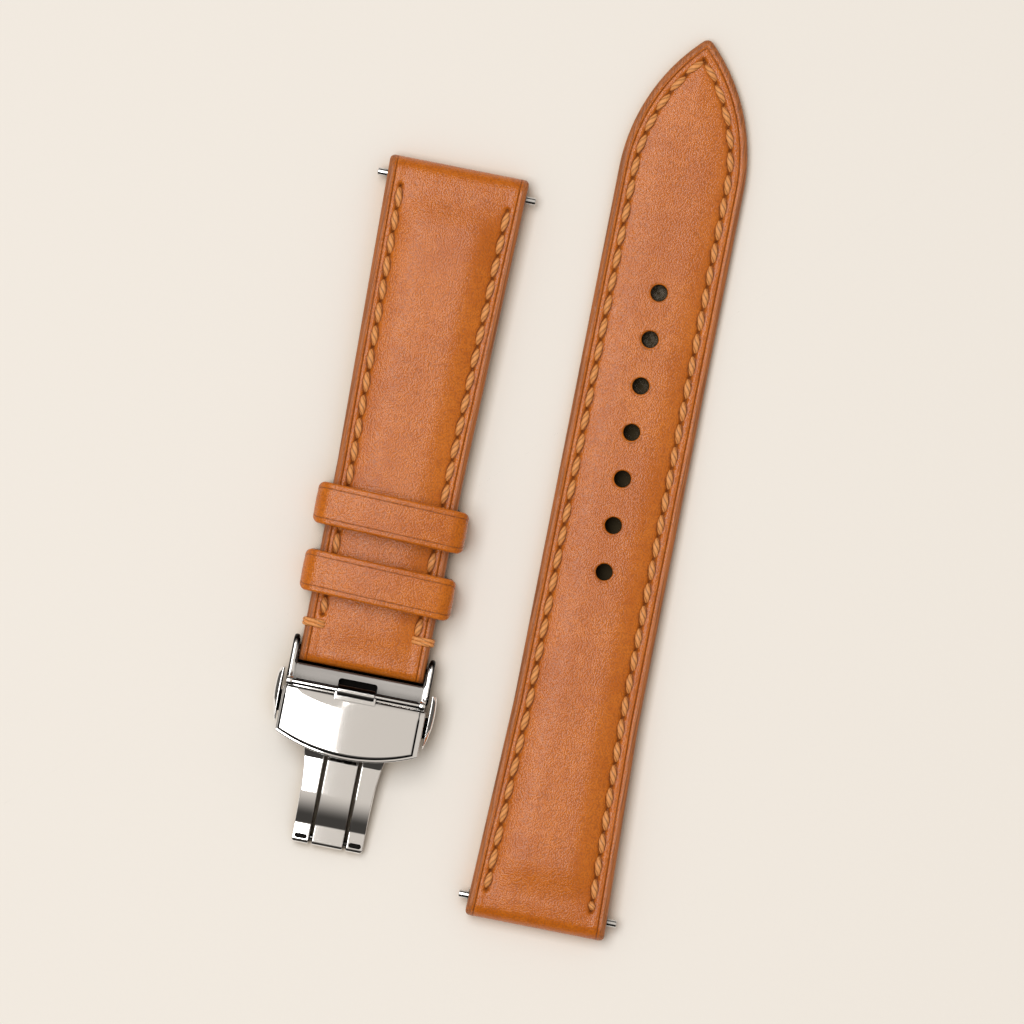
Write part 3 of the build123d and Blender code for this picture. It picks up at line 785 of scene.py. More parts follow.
def hole_cutter(strap, with_rim):
    """The punch of the tail holes, flared a little where it meets the top face."""
    solids = []
    turn = full_turn(44)
    for n in range(hole_count):
        v = strap.length - first_hole_from_tip - n * hole_pitch
        face = strap.face_level(0.0, v)
        radius = hole_diameter / 2
        profile = [(radius, -1.0)]
        if with_rim:
            for angle in quarter_turn(9):
                flare = hole_rim * (1 - math.cos(angle))
                profile.append((radius + flare, face - hole_rim_depth * (1 - math.sin(angle))))
            profile.append((radius + hole_rim * 1.4, face + 0.2))
        profile.append((profile[-1][0], face + 2.0))
        solids.append([(r * np.cos(turn), v + r * np.sin(turn), z) for r, z in profile])
    return punch("tail_punch", strap, solids, lambda face: abs(face.normal.z) < 0.3)


def bar_cutter(strap, v, z, diameter):
    """The cross bore for a spring bar."""
    turn = full_turn(40)
    side = v + diameter / 2 * np.cos(turn)
    level = z + diameter / 2 * np.sin(turn)
    reach = lug_half + 2
    return punch("bar_bore", strap, [[(u, side, level) for u in (-reach, reach)]], lambda face: True)


def strap_leather(strap, name, replaced, lining_node, bores):
    """The top leather over its padding, and the lining under it."""
    lap_end = strap.length + 10 if strap.tip else strap.length - end_lap

    def top_under(u, v):
        lined = (v > end_lap) & (v < lap_end)
        return strap.under(v) + np.where(lined, lining_thickness, 0)

    def lining_top(u, v):
        return strap.under(v) + lining_thickness - seam_gap / 2

    def lining_under(u, v):
        face = strap.under(v) + quarter_round(strap.edge_distance(u, v), under_round, under_round)
        for row in strap.rows:
            inner = strap.row_half(v, row.inset) - row.side * u
            face = face + 0.3 * smooth_ramp(0.45, 0.25, np.abs(inner))
        return face

    stations = stations_of(strap, 0, strap.length + 1)
    stations = with_step(stations, [end_lap] if strap.tip else [end_lap, lap_end])
    columns = face_columns(), plain_columns()
    top = slab(f"{name}_top", strap, stations, (strap.plain_top, top_under), columns, [tan, raw], True)
    for bore in bores:
        combined(top, bar_cutter(strap, *bore))

    stations = stations_of(strap, end_lap + seam_gap, min(lap_end - seam_gap, strap.length + 1))
    close_stations = 24 if strap.tip else 0
    split = len(stations) - close_stations
    stations = np.concatenate([stations[:split:2], stations[split:]])
    faces = lining_top, lining_under
    under = slab(f"{name}_under", strap, stations, faces, columns[::-1], [lining, raw])
    if strap.tip:
        combined(top, hole_cutter(strap, True))
        combined(under, hole_cutter(strap, False))
    dressed(top, "straps", tan, replaced)
    dressed(under, "straps", lining, [lining_node])


def stitch_block(strap, row, start, end, under=False):
    """One stitch between two holes, as a plied thread that dives into the leather at both ends."""
    length = end - start
    sections, around = (9, 10) if under else (17, 24)
    s = np.linspace(0, 1, sections)
    middle = start + length / 2 + (s - 0.5) * length * stitch_share
    turn = full_turn(around)
    swell = np.sin(math.pi * np.clip(s, 0.02, 0.98)) ** 0.62
    share = stitch_end_share + (1 - stitch_end_share) * swell
    points, ply = [], []
    for k in range(sections):
        (u, v), along = strap.row_point(row, middle[k])
        across = np.array([along[1], -along[0]])
        slant = row.side * stitch_slant * (1 - 2 * s[k]) * 2
        lobes = np.abs(np.cos(1.5 * (turn - 2 * math.pi * ply_turns * s[k] * row.side)))
        radius = 1 - ply_depth * (1 - lobes)
        wide = stitch_width / 2 * share[k] * radius * np.cos(turn)
        tall = stitch_height / 2 * share[k] * radius * np.sin(turn)
        if under:
            slant = 0
            wide = under_thread / 2 * share[k] * np.cos(turn) * 1.1
            tall = under_thread / 2 * share[k] * np.sin(turn)
            level = float(strap.under(v)) + under_thread / 2 + 0.02 + 0.25 * (1 - swell[k])
        else:
            level = strap.face_level(u, v) + stitch_lift - stitch_dive * (1 - swell[k]) * 1.4
        centre = np.array([u, v]) + across * slant
        points.append((centre[0] + across[0] * wide, centre[1] + across[1] * wide, level + tall))
        # The ply mark: painted shade in the grooves between the plies.
        ply.append(np.clip(1 - lobes * 1.7, 0, 1))
    return strap.place(ring_points(points)), ring_faces(sections, around), {"ply": np.concatenate(ply)}


def stitching(strap, name):
    """All the stitches of a strap, above and below, as one piece."""
    blocks = []
    for row in strap.rows:
        for start, end in zip(row.marks, row.marks[1:]):
            blocks.append(stitch_block(strap, row, start, end))
            if row.gaps[row.marks.index(start)][1] > end_lap + 0.5:
                blocks.append(stitch_block(strap, row, start, end, under=True))
    return dressed(joined(name, blocks), "straps", thread, smooth=60)


strap_leather(
    long_strap,
    "long_leather",
    ["long_top_leather", "long_filler"],
    "long_lining",
    [(lug_bar_inset, lug_edge_height / 2, lug_bar_bore)],
)
strap_leather(
    short_strap,
    "short_leather",
    ["short_top_leather", "short_filler"],
    "short_lining",
    [
        (lug_bar_inset, lug_edge_height / 2, lug_bar_bore),
        (short_strap.length - clasp_bar_inset, (lug_edge_height + clasp_end_lift) / 2, clasp_bar_bore),
    ],
)
stitching(long_strap, "long_stitching")
stitching(short_strap, "short_stitching")


def tack_block(path):
    """A plied thread along a path of points, in millimetres."""
    path = np.asarray(path, float)
    turn = full_turn(tack_around)
    along = np.gradient(path, axis=0)
    along /= np.linalg.norm(along, axis=1)[:, None]
    side = np.array([0.0, 1.0, 0.0])
    points, ply = [], []
    for k, (p, t) in enumerate(zip(path, along)):
        up = np.cross(t, side)
        up /= np.linalg.norm(up)
        other = np.cross(up, t)
        lobes = np.abs(np.cos(1.5 * (turn - tack_twist * k)))
        r = tack_thread / 2 * (1 - ply_depth * (1 - lobes))
        points.append(p + r[:, None] * (np.cos(turn)[:, None] * other + np.sin(turn)[:, None] * up))
        # The ply mark: painted shade in the grooves between the plies.
        ply.append(np.clip(1 - lobes * 2.2, 0, 1))
    return np.concatenate(points), ring_faces(len(path), tack_around), {"ply": np.concatenate(ply)}


def tacks(strap, name):
    """Two turns of thread over each edge where the rows end."""
    blocks = []
    bend = tack_bend
    outer = clasp_half + tack_thread / 2 * 0.4
    bend_middle = outer - bend
    for side, n in ((-1, -0.5), (-1, 0.5), (1, -0.5), (1, 0.5)):
        v = strap.length - tack_from_end + n * tack_thread * tack_spacing + (0.2 if side > 0 else -0.1)
        top = strap.face_level(side * 7.4, v)
        low = float(strap.under(v))
        path = [(tack_inner, top - 0.5), (tack_inner + 0.12, top - 0.12), (tack_inner + 0.4, top + 0.08)]
        path += [(u, top + 0.12) for u in np.arange(tack_inner + 0.8, outer - 0.75, 0.25)]
        for angle in np.linspace(0.15, math.pi / 2, 7):
            level = top + 0.1 - bend + bend * math.cos(angle)
            path.append((bend_middle + bend * math.sin(angle), level))
        path += [(outer, z) for z in np.linspace(top - bend - 0.2, low + 0.75, 5)]
        for angle in np.linspace(0.2, math.pi / 2, 6):
            level = low + 0.3 + bend - bend * math.sin(angle)
            path.append((bend_middle + bend * math.cos(angle), level))
        path += [(u, low + 0.3) for u in np.arange(bend_middle - 0.3, tack_inner + 0.3, -0.3)]
        path.append((tack_inner, low + 0.6))
        points, faces, ply = tack_block([(side * u, v, z) for u, z in path])
        blocks.append((strap.place(points), faces, ply))
    return dressed(joined(name, blocks), "straps", thread, smooth=60)


tacks(short_strap, "edge_tacks")


def keeper(node, body):
    """A keeper: a creased leather band bent round a rounded loop, a little askew as in use."""
    low, high = box_of(node)
    centre = (low + high) / 2
    half_w, half_h = (high[0] - low[0]) / 2, (high[2] - low[2]) / 2
    length = high[1] - low[1]
    r = keeper_corner

    def corner_point(corner, angle):
        """A place (x, z) on a rounded corner, and the outward direction there."""
        out = math.cos(angle), math.sin(angle)
        return corner[0] * (half_w - r) + r * out[0], corner[1] * (half_h - r) + r * out[1], *out

    corners = [(1, 1), (-1, 1), (-1, -1), (1, -1)]
    loop = []
    for number, corner in enumerate(corners):
        loop += [corner_point(corner, angle) for angle in number * math.pi / 2 + quarter_turn(11)]
        x0, z0 = loop[-1][:2]
        x1, z1, *out = corner_point(corners[(number + 1) % 4], (number + 1) * math.pi / 2)
        spans = 40 if number in (0, 2) else 10
        loop += [(x0 + (x1 - x0) * t, z0 + (z1 - z0) * t, *out) for t in np.linspace(0, 1, spans + 1)[1:-1]]
    loop = np.array(loop)

    e = keeper_edge_round
    steps = [e * (1 - math.cos(t)) for t in quarter_turn(6)]
    drops = [e * (1 - math.sin(t)) for t in quarter_turn(6)]
    flat = list(np.arange(e + 0.08, length - e - 0.04, 0.075))
    across = np.array(steps + flat + [length - s for s in reversed(steps)])
    sink = np.array(drops + [0] * len(flat) + drops[::-1])
    to_edge = np.minimum(across, length - across)
    crease = bell(to_edge - keeper_crease_from_edge, keeper_crease_width)
    pillow = keeper_pillow * smooth_ramp(keeper_crease_from_edge, 2.4, to_edge)
    outer = sink + keeper_set_back - pillow + keeper_crease_depth * crease
    profile = list(zip(across - length / 2, outer, to_edge, crease))
    profile += [(length / 2, keeper_wall - 0.25, -0.4, 0)]
    profile += [(s - length / 2, keeper_wall, 4.0, 0) for s in np.linspace(length - 0.25, 0.25, 12)]
    profile += [(-length / 2, keeper_wall - 0.25, -0.4, 0)]
    rings, edge, shade = [], [], []
    for s, depth, from_edge, dark in profile:
        x = loop[:, 0] - depth * loop[:, 2]
        z = loop[:, 1] - depth * loop[:, 3]
        z = z - keeper_dome * (x / half_w) ** 2 * smooth_ramp(-half_h, half_h, z)
        past_corner = np.clip(np.abs(loop[:, 0]) - (half_w - keeper_plan_round), 0, keeper_plan_round)
        drawn_in = keeper_plan_round - np.sqrt(keeper_plan_round**2 - past_corner**2)
        y = s * (1 - drawn_in / (length / 2)) + x * math.tan(keeper_tilt)
        rings.append((centre[0] + x, centre[1] + y, centre[2] + z))
        edge.append(np.full(len(x), from_edge + 0.82 if from_edge > 0 else from_edge))
        shade.append(np.full(len(x), 0.8 * dark))
    around = len(loop)
    faces = ring_faces(len(profile), around, capped=False)
    last = (len(profile) - 1) * around
    faces += [[last + j, last + (j + 1) % around, (j + 1) % around, j] for j in range(around)]
    marks = {"edge_mm": np.concatenate(edge), "shade": np.concatenate(shade)}
    band = make_mesh(node + "_band", ring_points(rings) * MM, faces, marks)
    return dressed(band, body, tan, [node], smooth=50)


keeper("fixed_keeper", "straps")
keeper("free_keeper", "free_keeper")


# Clasp sizes: across from the middle, past the leather's end, and up
clasp_y = short_strap.y - short_strap.length
sheet = 0.8
arm_inner = 9.4
blade_level = 2.0
blade_root_past = 13.0
blade_root_level = 2.95
blade_ramp_past = 10.6
blade_crease_past = 22.5
blade_crease_ease = 0.12
blade_bow = 0.3
blade_pin_past = 24.3
blade_end_past = 25.3
blade_corner = 0.55
barrel_radius = 1.0
barrel_squareness = 0.5
blade_half = 5.1
blade_root_half = 5.95
blade_flare_past = 19.0
strip_half = 2.2
rail_inner = 2.7
floor_top = 3.6
floor_end_past = 11.0
wing_top = 2.0
wing_end_past = 9.0
slot_length = 1.8
slot_width = 0.7
slot_depth = 0.4
slot_lip = 0.03
cover_half = 10.2
cover_start = 3.65
cover_side_end = 10.1
cover_end = 12.4
cover_under = 6.75
cover_bow = 0.15
cover_dome = 0.05
cover_drop = 0.13
cover_step = 0.26
rim_left = 0.3
rim_right = 0.7
rim_far = 0.42
rim_slope_left = 0.36
rim_slope = 0.05
knuckle_radius = 0.8
knuckle_half = 2.65
knuckle_root_half = 2.95
rod_past = 2.9
rod_level = 7.15
rod_clearance = 0.43
base_ease = 0.14
arm_ease = 0.36
fork_ease = 0.1


def as_mesh_object(name, shape):
    """An object from an edited shape."""
    mesh = bpy.data.meshes.new(name)
    shape.to_mesh(mesh)
    shape.free()
    return linked(name, mesh)


def sharp_edges(shape, limit=30):
    return [e for e in shape.edges if len(e.link_faces) == 2 and e.calc_face_angle() > math.radians(limit)]


def bevel_edges(shape, edges, width, segments, clamp=True):
    bmesh.ops.bevel(
        shape,
        geom=edges,
        offset=width * MM,
        offset_type="OFFSET",
        segments=segments,
        profile=0.5,
        affect="EDGES",
        clamp_overlap=clamp,
    )


def pull_in(shape, node):
    """Moves the points that a bevel threw out of the node's box back to their neighbours."""
    low, high = (np.array(corner) - 0.02 * MM * sign for corner, sign in zip(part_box(node), (1, -1)))
    stray = {v for v in shape.verts if (np.array(v.co) < low).any() or (np.array(v.co) > high).any()}
    while stray:
        near = {v: [e.other_vert(v) for e in v.link_edges if e.other_vert(v) not in stray] for v in stray}
        settled = [v for v in stray if near[v]]
        if not settled:
            break
        for v in settled:
            v.co = np.mean([np.array(other.co) for other in near[v]], axis=0)
        stray.difference_update(settled)


def cut_off(shape, place, normal):
    """Takes off what lies beyond a plane."""
    everything = shape.verts[:] + shape.edges[:] + shape.faces[:]
    bmesh.ops.bisect_plane(shape, geom=everything, plane_co=place, plane_no=normal, clear_outer=True)


def fill_holes(shape):
    bmesh.ops.holes_fill(shape, edges=[e for e in shape.edges if e.is_boundary])


def eased_shape(node, width, segments=2, keep_to=None, round_arms=0.0):
    """A node's shape with its sharp edges eased, cut off at a distance past the leather's end."""
    shape = bmesh.new()
    shape.from_mesh(frame["nodes"][node].data)
    bmesh.ops.remove_doubles(shape, verts=shape.verts, dist=2e-6)
    if keep_to is not None:
        cut_off(shape, (0, (clasp_y - keep_to) * MM, 0), (0, -1, 0))
        fill_holes(shape)
    flat_angle = math.radians(0.6)
    bmesh.ops.dissolve_limit(shape, angle_limit=flat_angle, verts=shape.verts, edges=shape.edges)
    if round_arms:
        middle, reach = short_strap.x * MM, (arm_inner - 0.05) * MM
        arms = [e for e in sharp_edges(shape) if all(abs(v.co.x - middle) > reach for v in e.verts)]
        bevel_edges(shape, arms, round_arms, 4, clamp=False)
        pull_in(shape, node)
    bevel_edges(shape, sharp_edges(shape), width, segments)
    return shape


def softened(node, width, material, side_shade=0.0):
    """A copy of a metal node with its sharp edges eased and painted shade on its steep sides."""
    shape = eased_shape(node, width)
    shape.normal_update()
    facing = np.array([v.normal.z for v in shape.verts])
    thing = as_mesh_object(node + "_steel", shape)
    mark(thing.data, "painted_shade", side_shade * smooth_ramp(0.95, 0.75, facing))
    return dressed(thing, body_of[node], material, [node], flat=True)


def clasp_points(points):
    """Points past the leather's end (across, past, up) in metres in the row frame."""
    x, past, z = np.moveaxis(np.asarray(points, float), -1, 0)
    return np.stack([short_strap.x + x, clasp_y - past, z], axis=-1) * MM


def metal_marks(count, polish=1.0, painted_shade=0.0):
    """The polish of a block's points, and the painted shade on them."""
    return {"polish": np.zeros(count) + polish, "painted_shade": np.zeros(count) + painted_shade}


def outward(profile):
    """Unit normals of a closed profile that runs anticlockwise."""
    along = np.roll(profile, -1, axis=0) - np.roll(profile, 1, axis=0)
    normal = np.stack([along[:, 1], -along[:, 0]], -1)
    return normal / np.linalg.norm(normal, axis=1)[:, None]


def extruded(profile, inner, outer, edge):
    """A profile of (past, up) points drawn across between two sides, with rounded side edges."""
    profile = np.asarray(profile, float)
    inner, outer = (np.zeros(len(profile)) + side for side in (inner, outer))
    area = np.sum(profile[:, 0] * np.roll(profile[:, 1], -1) - np.roll(profile[:, 0], -1) * profile[:, 1])
    if area < 0:
        profile = profile[::-1]
        inner, outer = inner[::-1], outer[::-1]
    normal = outward(profile)
    towards = np.sign(outer - inner)
    rounding = [(edge * (1 - math.sin(t)), edge * (1 - math.cos(t))) for t in quarter_turn(5)]
    sections = [(inner + step * towards, profile - normal * sink) for sink, step in rounding]
    if np.min(np.abs(outer - inner)) > 4 * edge + 0.6:
        sections += [(inner + step * towards, profile) for step in (edge + 0.02, edge + 0.2)]
        sections += [(outer - step * towards, profile) for step in (edge + 0.2, edge + 0.02)]
    sections += [(outer - step * towards, profile - normal * sink) for sink, step in rounding[::-1]]
    points = ring_points([(x, side[:, 0], side[:, 1]) for x, side in sections])
    return clasp_points(points), ring_faces(len(sections), len(profile)), metal_marks(len(points))

def blade_line(past):
    """The level of the blade's top side."""
    root = np.array([blade_root_past, blade_root_level])
    crease = np.array([blade_crease_past, blade_level])
    chord = crease - root
    t = (past - root[0]) / chord[0]
    return root[1] + t * chord[1] + 4 * blade_bow * t * (1 - t)


def blade_profile(start, start_level):
    """The side of a blade strip: ramp, bowed run, flat end and the barrel round the pin."""
    past = np.linspace(blade_root_past, blade_crease_past - blade_crease_ease, 60)
    top = [(start, start_level)]
    with_ramp = start < blade_ramp_past
    if with_ramp:
        top.append((blade_ramp_past, start_level))
    top += list(zip(past, blade_line(past)))
    top += [(blade_crease_past + blade_crease_ease, blade_level)]
    top += [(p, blade_level) for p in np.linspace(blade_crease_past + 0.4, blade_pin_past, 6)]
    for a in np.linspace(math.pi / 2, -math.pi / 2, 40)[1:]:
        out, up = abs(math.cos(a)) ** barrel_squareness, abs(math.sin(a)) ** barrel_squareness
        top.append((blade_pin_past + barrel_radius * out, barrel_radius * (1 + math.copysign(up, a))))
    for a in np.linspace(-math.pi / 2, -math.pi / 2 - 0.9, 10)[1:]:
        top.append((blade_pin_past + barrel_radius * math.cos(a), barrel_radius * (1 + math.sin(a))))
    for p in np.linspace(blade_pin_past - 1.35, blade_root_past, 50):
        level = float(blade_line(p)) if p < blade_crease_past else blade_level
        top.append((p, level - sheet))
    if with_ramp:
        top.append((blade_ramp_past, start_level - sheet))
    top.append((start, start_level - sheet))
    return np.array(top)


def blade_outer(past):
    """Half the blade's width: a flare at the root, straight sides and rounded corners at the end."""
    t = np.clip((blade_flare_past - past) / (blade_flare_past - floor_end_past), 0, 1)
    half = blade_half + (blade_root_half - blade_half) * t**2
    ahead = np.clip(past - (blade_end_past - blade_corner), 0, blade_corner)
    return half - blade_corner + np.sqrt(blade_corner**2 - ahead**2)


def with_parts(name, shape, blocks, polish, painted_shade=None):
    """One object from an eased shape and added blocks; polish and painted shade mark the shape's points."""
    shape.verts.ensure_lookup_table()
    shape.normal_update()
    facing = np.array([v.normal for v in shape.verts])
    points = np.array([v.co for v in shape.verts])
    faces = [[v.index for v in f.verts] for f in shape.faces]
    shape.free()
    x, y, z = points.T / MM
    place = np.stack([x - short_strap.x, clasp_y - y, z], -1)
    dark = painted_shade(place, facing) if painted_shade else 0.0
    return joined(name, [(points, faces, metal_marks(len(points), polish(place), dark))] + blocks)


def all_polished(place):
    return np.ones(len(place))


def base_polish(place):
    """The arms are polished; the plate and the wings keep their satin faces."""
    return smooth_ramp(arm_inner - 0.2, arm_inner, np.abs(place[:, 0]))


def base_shadow(place, facing):
    """Painted dark reflections along the arms' rounded edges, and painted shade on the floor under the
    notch.
    """
    lines = np.where(np.abs(place[:, 0]) > arm_inner - 0.1, smooth_ramp(0.95, 0.7, facing[:, 2]), 0)
    under_notch = (place[:, 2] < wing_top + 0.1) & (place[:, 1] < cover_start) & (facing[:, 2] > 0.3)
    return np.where(under_notch, 1, lines)


# The base: the arms, the notched plate, the wings and the blade's middle strip
strip = extruded(blade_profile(wing_end_past - 0.3, wing_top), -strip_half, strip_half, 0.12)
base = with_parts(
    "clasp_base_steel",
    eased_shape("clasp_base", base_ease, 3, keep_to=wing_end_past - 0.2, round_arms=arm_ease),
    [strip],
    base_polish,
    base_shadow,
)
dressed(base, "clasp_base", satin, ["clasp_base"], smooth=40, flat=True)


def slot_cutter(side):
    """The rounded slot in a rail's end."""
    middle = side * (rail_inner + blade_half) / 2
    reach = (slot_length - slot_width) / 2
    turn = full_turn(32)
    x = middle + np.where(np.cos(turn) > 0, reach, -reach) + slot_width / 2 * np.cos(turn)
    past = blade_pin_past + slot_width / 2 * np.sin(turn)
    levels = (blade_level - slot_depth, blade_level - slot_lip, blade_level + 1)
    points = ring_points([(x, past, z) for z in levels])
    return make_mesh("slot", clasp_points(points), ring_faces(len(levels), 32), metal_marks(len(points)))


def block_of(rail):
    """The points, faces and marks of a rail's object, which goes. Its slot gets painted shade."""
    points = np.array([v.co for v in rail.data.vertices])
    faces = [list(f.vertices) for f in rail.data.polygons]
    bpy.data.objects.remove(rail)
    past = clasp_y - points[:, 1] / MM
    level = points[:, 2] / MM
    across = np.abs(points[:, 0] / MM - short_strap.x) - (rail_inner + blade_half) / 2
    in_slot = (np.abs(past - blade_pin_past) < slot_width / 2 + 0.01) & (level < blade_level - slot_lip / 2)
    in_slot &= (np.abs(across) < slot_length / 2 + 0.01) & (level > blade_level - slot_depth - 0.01)
    return points, faces, metal_marks(len(points), painted_shade=in_slot.astype(float))


# The fork: its floor and walls, and the blade's two outer rails
rails = []
profile = blade_profile(floor_end_past - 0.05, floor_top)
for side in (-1, 1):
    block = extruded(profile, side * rail_inner, side * blade_outer(profile[:, 0]), 0.14)
    rails.append(block_of(combined(make_mesh("rail", *block), slot_cutter(side))))
fork_shape = eased_shape("clasp_fork", fork_ease, keep_to=floor_end_past)
fork = with_parts("clasp_fork_steel", fork_shape, rails, all_polished)
dressed(fork, "clasp_fork", mirror, ["clasp_fork"], smooth=40, flat=True)


def cover_far(x):
    """How far the cover reaches at a place across."""
    rise = cover_end - cover_side_end
    radius = (cover_half**2 + rise**2) / (2 * rise)
    return cover_end - radius + np.sqrt(radius**2 - x**2)


def rim_insets(rim):
    """Distances from the cover's edge, close together at its rounding and at the step."""
    rounding = [0, 0.015, 0.04, 0.08, 0.13, 0.2]
    step = [rim + cover_step * share for share in (0, 0.33, 0.67, 1)]
    return sorted(set(rounding + [rim - 0.05] + step))


def cover_plate():
    """The domed plate of the cover with its stepped rim."""
    left = -cover_half + np.array(rim_insets(rim_left) + [1.2, 1.5])
    right = cover_half - np.array(rim_insets(rim_right) + [1.2, 1.5])[::-1]
    x = np.concatenate([left, np.linspace(left[-1], right[0], 42)[1:-1], right])
    near = np.array([0, 0.02, 0.05, 0.1, 0.16, 0.25, 0.4, 0.6, 0.8, 1.0, 1.2, 1.4, 1.6, 1.8, 2.0, 2.3])
    far = np.array(rim_insets(rim_far))[::-1]
    reach = cover_far(x)
    start, end = cover_start + near[-1], reach - far[0]
    rows = [cover_start + d + 0 * x for d in near]
    rows += [start + share * (end - start) for share in np.linspace(0, 1, 22)[1:-1]]
    rows += [reach - d for d in far]
    past = np.array(rows)
    across = np.broadcast_to(x, past.shape)
    from_side = cover_half - np.abs(across)

    middle = (cover_start + cover_end) / 2
    top = cover_under + sheet + cover_bow * (1 - ((past - middle) / (cover_end - middle)) ** 2)
    top = top + cover_dome * (1 - (across / cover_half) ** 2)
    shoulder = 1.15 + 0.75 * smooth_ramp(-9.5, -1.5, across)
    into = np.clip(shoulder - (past - cover_start), 0, None)
    top = top - 0.1 * into**2
    side_rim = np.where(across < 0, rim_left, rim_right)
    slope = np.maximum(side_rim - from_side, rim_far - (reach - past))
    # A line of painted shade along the rim's step.
    line = smooth_ramp(-cover_step - 0.06, -cover_step * 0.75, slope) * smooth_ramp(0.06, -0.02, slope)
    line = line * smooth_ramp(0.5, 1.6, past - cover_start)
    steep = np.where(slope > rim_left - (across + cover_half) + 1e-6, rim_slope, rim_slope_left)
    top = top - cover_drop * smooth_ramp(-cover_step, 0, slope) - steep * np.clip(slope, 0, None)
    rim = np.minimum(np.minimum(from_side, reach - past), past - cover_start)
    top = top - quarter_round(rim, 0.13, 0.13)

    count, width = past.shape
    ids = np.arange(count * width).reshape(count, width)
    quads = np.stack([ids[:-1, :-1], ids[:-1, 1:], ids[1:, 1:], ids[1:, :-1]], -1).reshape(-1, 4)
    faces = quads.tolist() + (quads[:, ::-1] + ids.size).tolist()
    border = [*ids[0], *ids[1:, -1], *ids[-1, -2::-1], *ids[-2:0:-1, 0]]
    for a, b in zip(border, border[1:] + border[:1]):
        faces.append([int(n) for n in (a, b, b + ids.size, a + ids.size)])
    upper = np.stack([across, past, top], -1).reshape(-1, 3)
    lower = np.stack([across, past, 0 * past + cover_under], -1).reshape(-1, 3)
    points = clasp_points(np.concatenate([upper, lower]))
    painted_shade = np.concatenate([line.ravel(), np.zeros(len(lower))])
    return make_mesh("clasp_cover_steel", points, faces, metal_marks(len(points), painted_shade=painted_shade))


def rod_circle(radius):
    turn = full_turn(64)
    return np.stack([rod_past + radius * np.cos(turn), rod_level + radius * np.sin(turn)], -1)


def cover_mesh():
    """The cover with the knuckle that turns on the rod."""
    plate = cover_plate()
    end, low, high = cover_start + 0.5, -0.4, 0.36
    root = np.array([(rod_past, low), (end, low), (end, high), (rod_past, high)])
    root[:, 1] += rod_level
    knuckle = (rod_circle(knuckle_radius), knuckle_half, 0.1), (root, knuckle_root_half, 0.08)
    for profile, half, edge in knuckle:
        combined(plate, make_mesh("knuckle", *extruded(profile, -half, half, edge)), "UNION")
    half = knuckle_root_half + 2
    combined(plate, make_mesh("rod_bore", *extruded(rod_circle(rod_clearance), -half, half, 0.01)))
    # The part of the knuckle nearer the leather than the rod gets painted shade too.
    before_rod = clasp_y - rod_past - np.array([v.co[1] for v in plate.data.vertices]) / MM
    painted_shade = np.zeros(len(before_rod), np.float32)
    plate.data.attributes["painted_shade"].data.foreach_get("value", painted_shade)
    mark(plate.data, "painted_shade", np.maximum(painted_shade, smooth_ramp(-0.15, -0.32, before_rod)))
    mark(plate.data, "polish", np.ones(len(painted_shade)))
    return dressed(plate, "clasp_cover", mirror, ["clasp_cover"], smooth=28)


cover_mesh()

# Shares of a button's width from its inner side, and how far its face drops there
button_face = [
    (0.0, 0.4),
    (0.03, 0.14),
    (0.08, 0.03),
    (0.14, 0.0),
    (0.26, 0.0),
    (0.31, 0.03),
    (0.36, 0.06),
    (0.74, 0.34),
    (0.79, 0.38),
    (0.86, 0.47),
    (0.93, 0.62),
    (0.98, 0.9),
    (1.0, 1.3),
    (1.0, 1.7),
]


def button_mesh(side, name):
    """A crescent button with a domed outer face, on the stem and catch of its node."""
    low, high = box_of(name)
    inner = cover_half + 0.4
    extent = max(abs(low[0] - short_strap.x), abs(high[0] - short_strap.x))
    start, peak, end = 1.3, 4.0, 8.8
    nose, heel = 0.5, 0.1
    bottom, top = 2.0, 5.8
    stem_top = 3.0
    turn = np.linspace(0, math.pi, 60)
    past = start + (end - start) * (1 - np.cos(turn)) / 2
    before = np.clip((peak - past) / (peak - start), 0, 1)
    after = np.clip((past - peak) / (end - peak), 0, 1)
    near_reach = nose + (extent - inner - nose) * np.sqrt(1 - before**2)
    far_reach = heel + (extent - inner - heel) * (1 - after**2)
    reach = inner + np.where(past < peak, near_reach, far_reach)
    rings = []
    for p, r in zip(past, reach):
        width = r - inner
        upper = [(inner + share * width, top - drop * min(1.0, 0.3 + width)) for share, drop in button_face]
        lower = [(x, top + bottom - z) for x, z in upper[::-1]]
        rings.append([(side * x, p, z) for x, z in upper + lower])
    points = np.concatenate([np.array(ring) for ring in rings])
    block = (clasp_points(points), ring_faces(len(rings), len(rings[0])), metal_marks(len(points), 0.97))
    shape = eased_shape(name, 0.05, 1)
    cut_off(shape, ((short_strap.x + side * (inner + 0.05)) * MM, 0, 0), (side, 0, 0))
    above_stem = [v for v in shape.verts if v.co.z > stem_top * MM]
    bmesh.ops.delete(shape, geom=above_stem, context="VERTS")
    fill_holes(shape)
    thing = with_parts(f"{name}_steel", shape, [block], all_polished)
    return dressed(thing, name, mirror, [name], smooth=50, flat=True)


def as_wire(node):
    """Gives a spring's node its material."""
    slots = frame["nodes"][node].data.materials
    slots.clear()
    slots.append(wire)


for side, name in ((-1, "left"), (1, "right")):
    button_mesh(side, f"button_{name}")
    as_wire(f"button_spring_{name}")
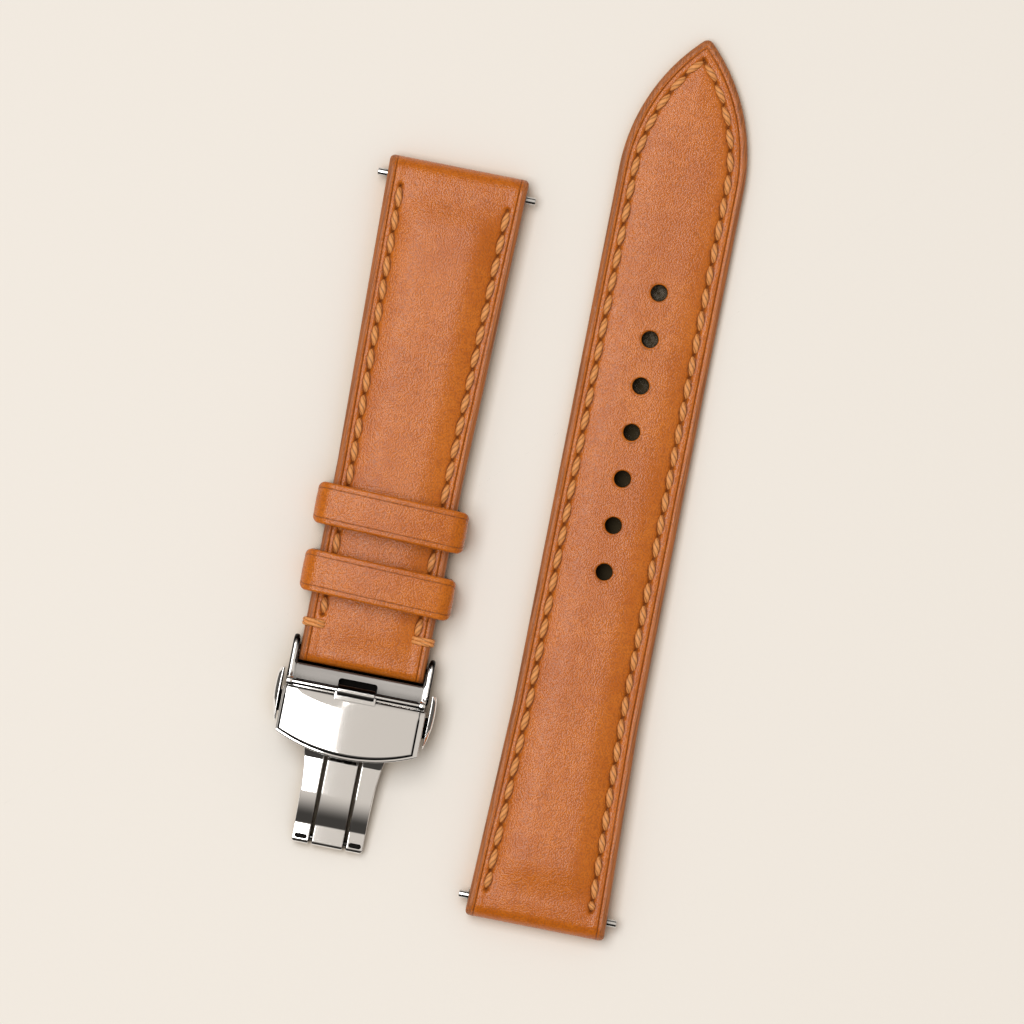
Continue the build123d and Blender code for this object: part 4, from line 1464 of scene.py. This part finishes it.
# How much painted shade the steep sides of each pin get.
for node, side_shade in (("cover_rod", 1.0), ("blade_pin", 0.3), ("strap_post", 0.0)):
    softened(node, 0.08, mirror, side_shade)
for bar in ("long_bar", "short_bar", "clasp_bar"):
    softened(f"{bar}_tube", 0.05, satin)
    for side in ("left", "right"):
        softened(f"{bar}_tip_{side}", 0.08, mirror, side_shade=0.35)
    as_wire(f"{bar}_spring")


def stage():
    """Floor, soft box, world and camera, as the photograph has them."""
    floor_half = 3.0
    corners = np.array([(-1, -1, 0), (1, -1, 0), (1, 1, 0), (-1, 1, 0)], float) * floor_half
    corners[:, 2] = -0.02 * MM
    make_mesh("floor", corners, [[0, 1, 2, 3]], materials=[paper])

    height = 0.9
    left, right, near, far = -0.5, -0.0385, -0.285, 0.5
    radiance = 5.2
    lamp = bpy.data.lights.new("soft_box", "AREA")
    lamp.shape = "RECTANGLE"
    lamp.size = right - left
    lamp.size_y = far - near
    lamp.energy = radiance * math.pi * lamp.size * lamp.size_y
    box = linked("soft_box", lamp)
    box.location = ((left + right) / 2, (near + far) / 2, height)
    box.visible_camera = False

    world = bpy.data.worlds.new("studio")
    bpy.context.scene.world = world
    s = Nodes(world, "Background")
    place = s.split(s.add("ShaderNodeTexCoord").outputs["Generated"])
    overhead = s.ramp(place["Z"], 0.45, 0.85, 0.10, 0.64)
    front = s.ramp(place["Y"], -0.42, -0.24, 0.08, 1.0)
    mirrored_glow = s.times(overhead, front)
    glossy = s.add("ShaderNodeLightPath").outputs["Is Glossy Ray"]
    pick = s.add("ShaderNodeMix", {"data_type": "FLOAT"}, Factor=glossy, A=0.46, B=mirrored_glow)
    s.feed(s.end, "Color", (1, 0.93, 0.85, 1))
    s.feed(s.end, "Strength", pick.outputs[0])

    camera = bpy.data.cameras.new("camera")
    camera.sensor_width = 36.0
    camera.lens = 223.18
    eye = linked("camera", camera)
    eye.location = (1.16 * MM, -6.909 * MM, 0.9)
    eye.rotation_euler = (0, 0, math.radians(11.17))
    bpy.context.scene.camera = eye


stage()
bpy.context.scene.view_settings.view_transform = "Standard"
